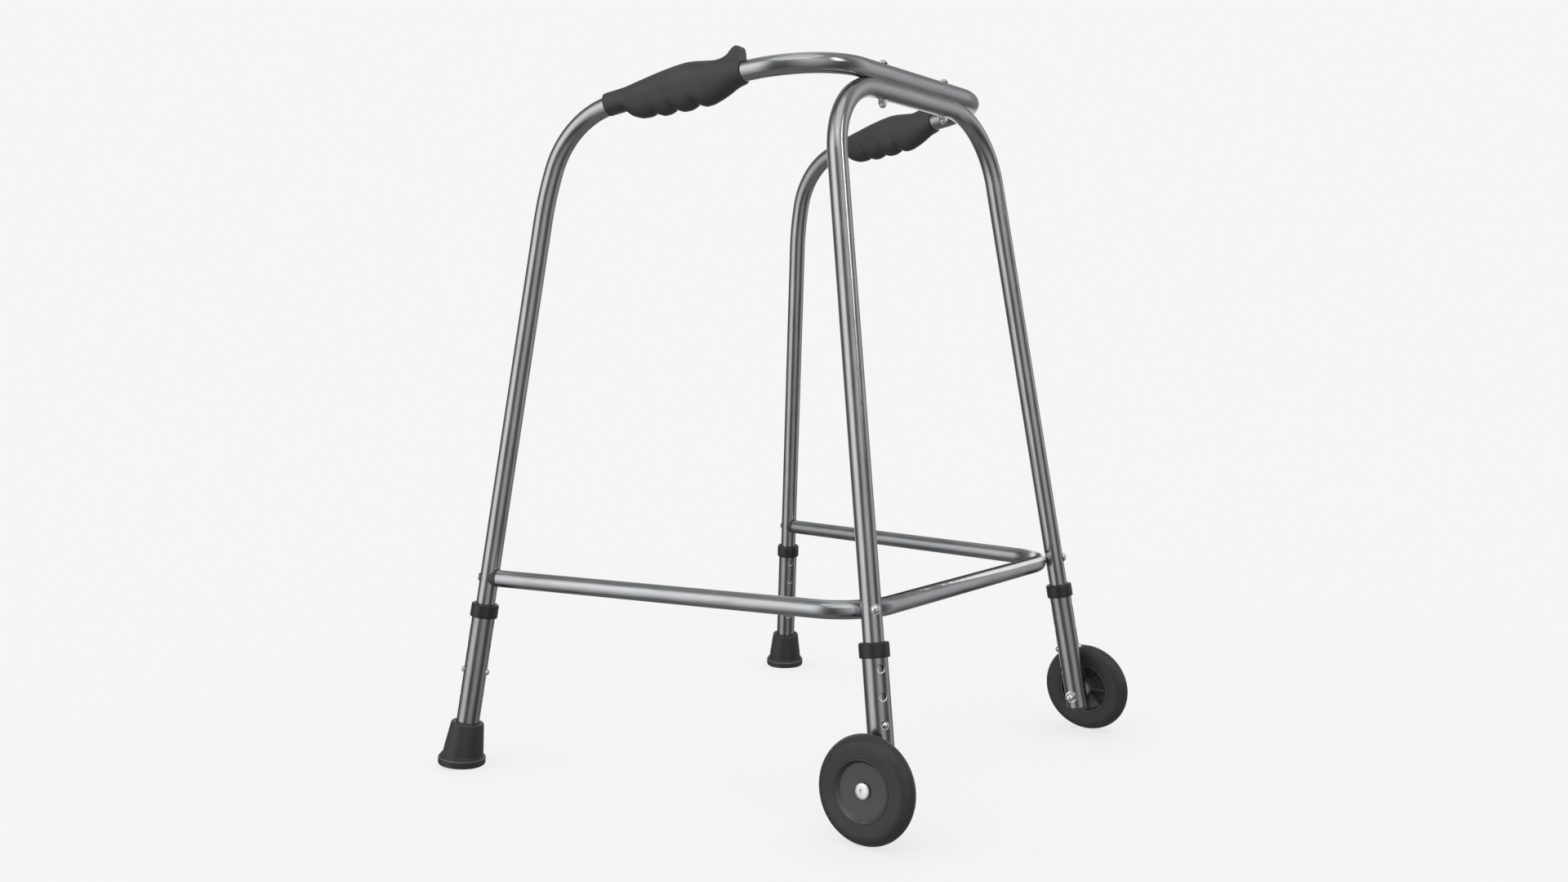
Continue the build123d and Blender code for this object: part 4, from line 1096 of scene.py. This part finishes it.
def build_world():
    world = bpy.data.worlds.new("studio")
    scene.world = world
    world.use_nodes = True
    graph = Graph(world.node_tree)
    graph.tree.nodes.clear()
    out = graph.node("ShaderNodeOutputWorld")
    direction = graph.coords("Generated")

    def along(axis):
        return graph.node("ShaderNodeVectorMath", {0: direction, 1: axis},
                          operation="DOT_PRODUCT").outputs["Value"]

    toward, right = along((-AWAY_X, -AWAY_Y, 0)), along((AWAY_Y, -AWAY_X, 0))
    z = graph.xyz(direction)[2]
    # azimuth and elevation as 0 to 1, and in degrees
    turn = graph.remap(graph.math("ARCTAN2", right, toward), (-math.pi, math.pi))
    rise = graph.remap(graph.math("ARCSINE", z), (-math.pi / 2, math.pi / 2))
    azimuth = graph.times(graph.minus(turn, 0.5), 360.0)
    elevation = graph.times(graph.minus(rise, 0.5), 180.0)

    def ramp(factor, table):
        node = graph.node("ShaderNodeValToRGB", {0: factor})
        elements = node.color_ramp.elements
        while len(elements) > 1:
            elements.remove(elements[-1])
        low, high = table[0][0], table[-1][0]
        for i, (degrees, glow) in enumerate(table):
            place = (degrees - low) / (high - low)
            element = elements[0] if i == 0 else elements.new(place)
            element.position = place
            element.color = (glow, glow, glow, 1)
        node.color_ramp.interpolation = "EASE"
        return node.outputs[0]

    gloss = graph.mix(1.0, ramp(turn, AZIMUTH_GLOW), ramp(rise, ELEVATION_GLOW), "MULTIPLY")
    gloss = graph.mix(1.0, gloss, (0.050, 0.050, 0.052, 1), "ADD")
    pole = graph.remap(z, (-0.5, 0.5), to=POLE_GLOW)
    steep = graph.smoothstep(graph.math("ABSOLUTE", z), (0.58, 0.90))
    gloss = graph.mix(steep, gloss, pole)

    def window(angle, rising, falling):
        return graph.minus(graph.smoothstep(angle, rising), graph.smoothstep(angle, falling))

    def lamp(angle, sides, heights):
        return graph.times(window(angle, *sides), window(elevation, *heights))

    # either side of straight behind the object; the fall lies past the end of the scale
    def rear_lamp(start, full, heights):
        return lamp(graph.math("ABSOLUTE", azimuth), ((start, full), (400, 401)), heights)

    behind = rear_lamp(150, 170, heights=((-26, -12), (14, 28)))
    high = rear_lamp(145, 170, heights=((42, 56), (74, 86)))
    right_strip = lamp(azimuth, sides=((51, 56), (61, 66)), heights=((15.5, 20), (40, 50)))
    front_patch = lamp(azimuth, sides=((-32, -20), (14, 30)), heights=((26, 34), (44, 54)))
    lamps = graph.weighted((behind, 0.75), (right_strip, 3.6), (front_patch, 0.6), (high, 0.42))
    gloss = graph.mix(1.0, gloss, lamps, "ADD")
    diffuse = graph.times(graph.remap(z, SKY_SPAN, to=SKY_LIGHT),
                          graph.remap(right, (-1.0, 1.0), to=SKY_LEFT_RIGHT))
    rays = graph.node("ShaderNodeLightPath").outputs
    pale = (PALE, PALE, PALE * 1.004, 1)
    color = graph.mix(rays["Is Diffuse Ray"], pale, diffuse)
    color = graph.mix(rays["Is Glossy Ray"], color, gloss)
    color = graph.mix(rays["Is Camera Ray"], color, pale)
    background = graph.node("ShaderNodeBackground", {"Color": color, "Strength": 1.0})
    graph.feed(out, 0, background.outputs[0])
    world.cycles.sampling_method = "NONE"


build_world()

# ---------------------------------------------------------------- sun and floor
sun_direction = Vector((-0.35, -0.25, 1.0)).normalized()
sun = add_object("soft_key", bpy.data.lights.new("soft_key", "SUN"))
sun.data.energy = 0.35
sun.data.angle = math.radians(50)
aim(sun, -sun_direction)


def mean_sky():
    """Mean of the world's diffuse light on level ground, over cosine-weighted directions."""
    u, v = np.meshgrid((np.arange(200) + 0.5) / 200, (np.arange(400) + 0.5) / 400)
    z, turn = np.sqrt(1 - u), 2 * math.pi * v
    level = np.sqrt(1 - z * z)
    right = level * np.cos(turn) * AWAY_Y - level * np.sin(turn) * AWAY_X
    light = np.interp(z, SKY_SPAN, SKY_LIGHT)
    return (light * np.interp(right, (-1, 1), SKY_LEFT_RIGHT)).mean()


# the floor's paint is set so that the open floor is as pale as the backdrop
open_light = mean_sky() + sun.data.energy * sun_direction.z / math.pi
floor_value = min(0.98, PALE / open_light)
FLOOR_GLOW = 0.80                           # share of its paleness that shadows don't take away
FLOOR_HALF, FLOOR_Z = 60.0, -0.0003         # metres


def floor_material():
    material, graph, bsdf = principled("pale_floor")
    mottle = graph.noise(graph.coords(), scale=6.0, rough=0.5)
    color = graph.mix(mottle, grey(floor_value * 0.997), grey(floor_value * 1.003))
    color = graph.mix(1.0, color, grey(1 - FLOOR_GLOW), "MULTIPLY")
    for key, value in (("Base Color", color), ("Roughness", 0.9), ("Specular IOR Level", 0.0),
                       ("Emission Color", grey(PALE)), ("Emission Strength", FLOOR_GLOW)):
        graph.feed(bsdf, key, value)
    return material


floor_mesh = bpy.data.meshes.new("floor")
floor_mesh.from_pydata([(x * FLOOR_HALF, y * FLOOR_HALF, FLOOR_Z)
                        for x, y in ((-1, -1), (1, -1), (1, 1), (-1, 1))], [], [(0, 1, 2, 3)])
floor = add_object("floor", floor_mesh)
floor_mesh.materials.append(floor_material())
floor.visible_glossy = False
floor.visible_diffuse = False

scene.view_settings.view_transform = "Standard"
scene.view_settings.look = "None"
scene.view_settings.exposure = 0.0
scene.view_settings.gamma = 1.0
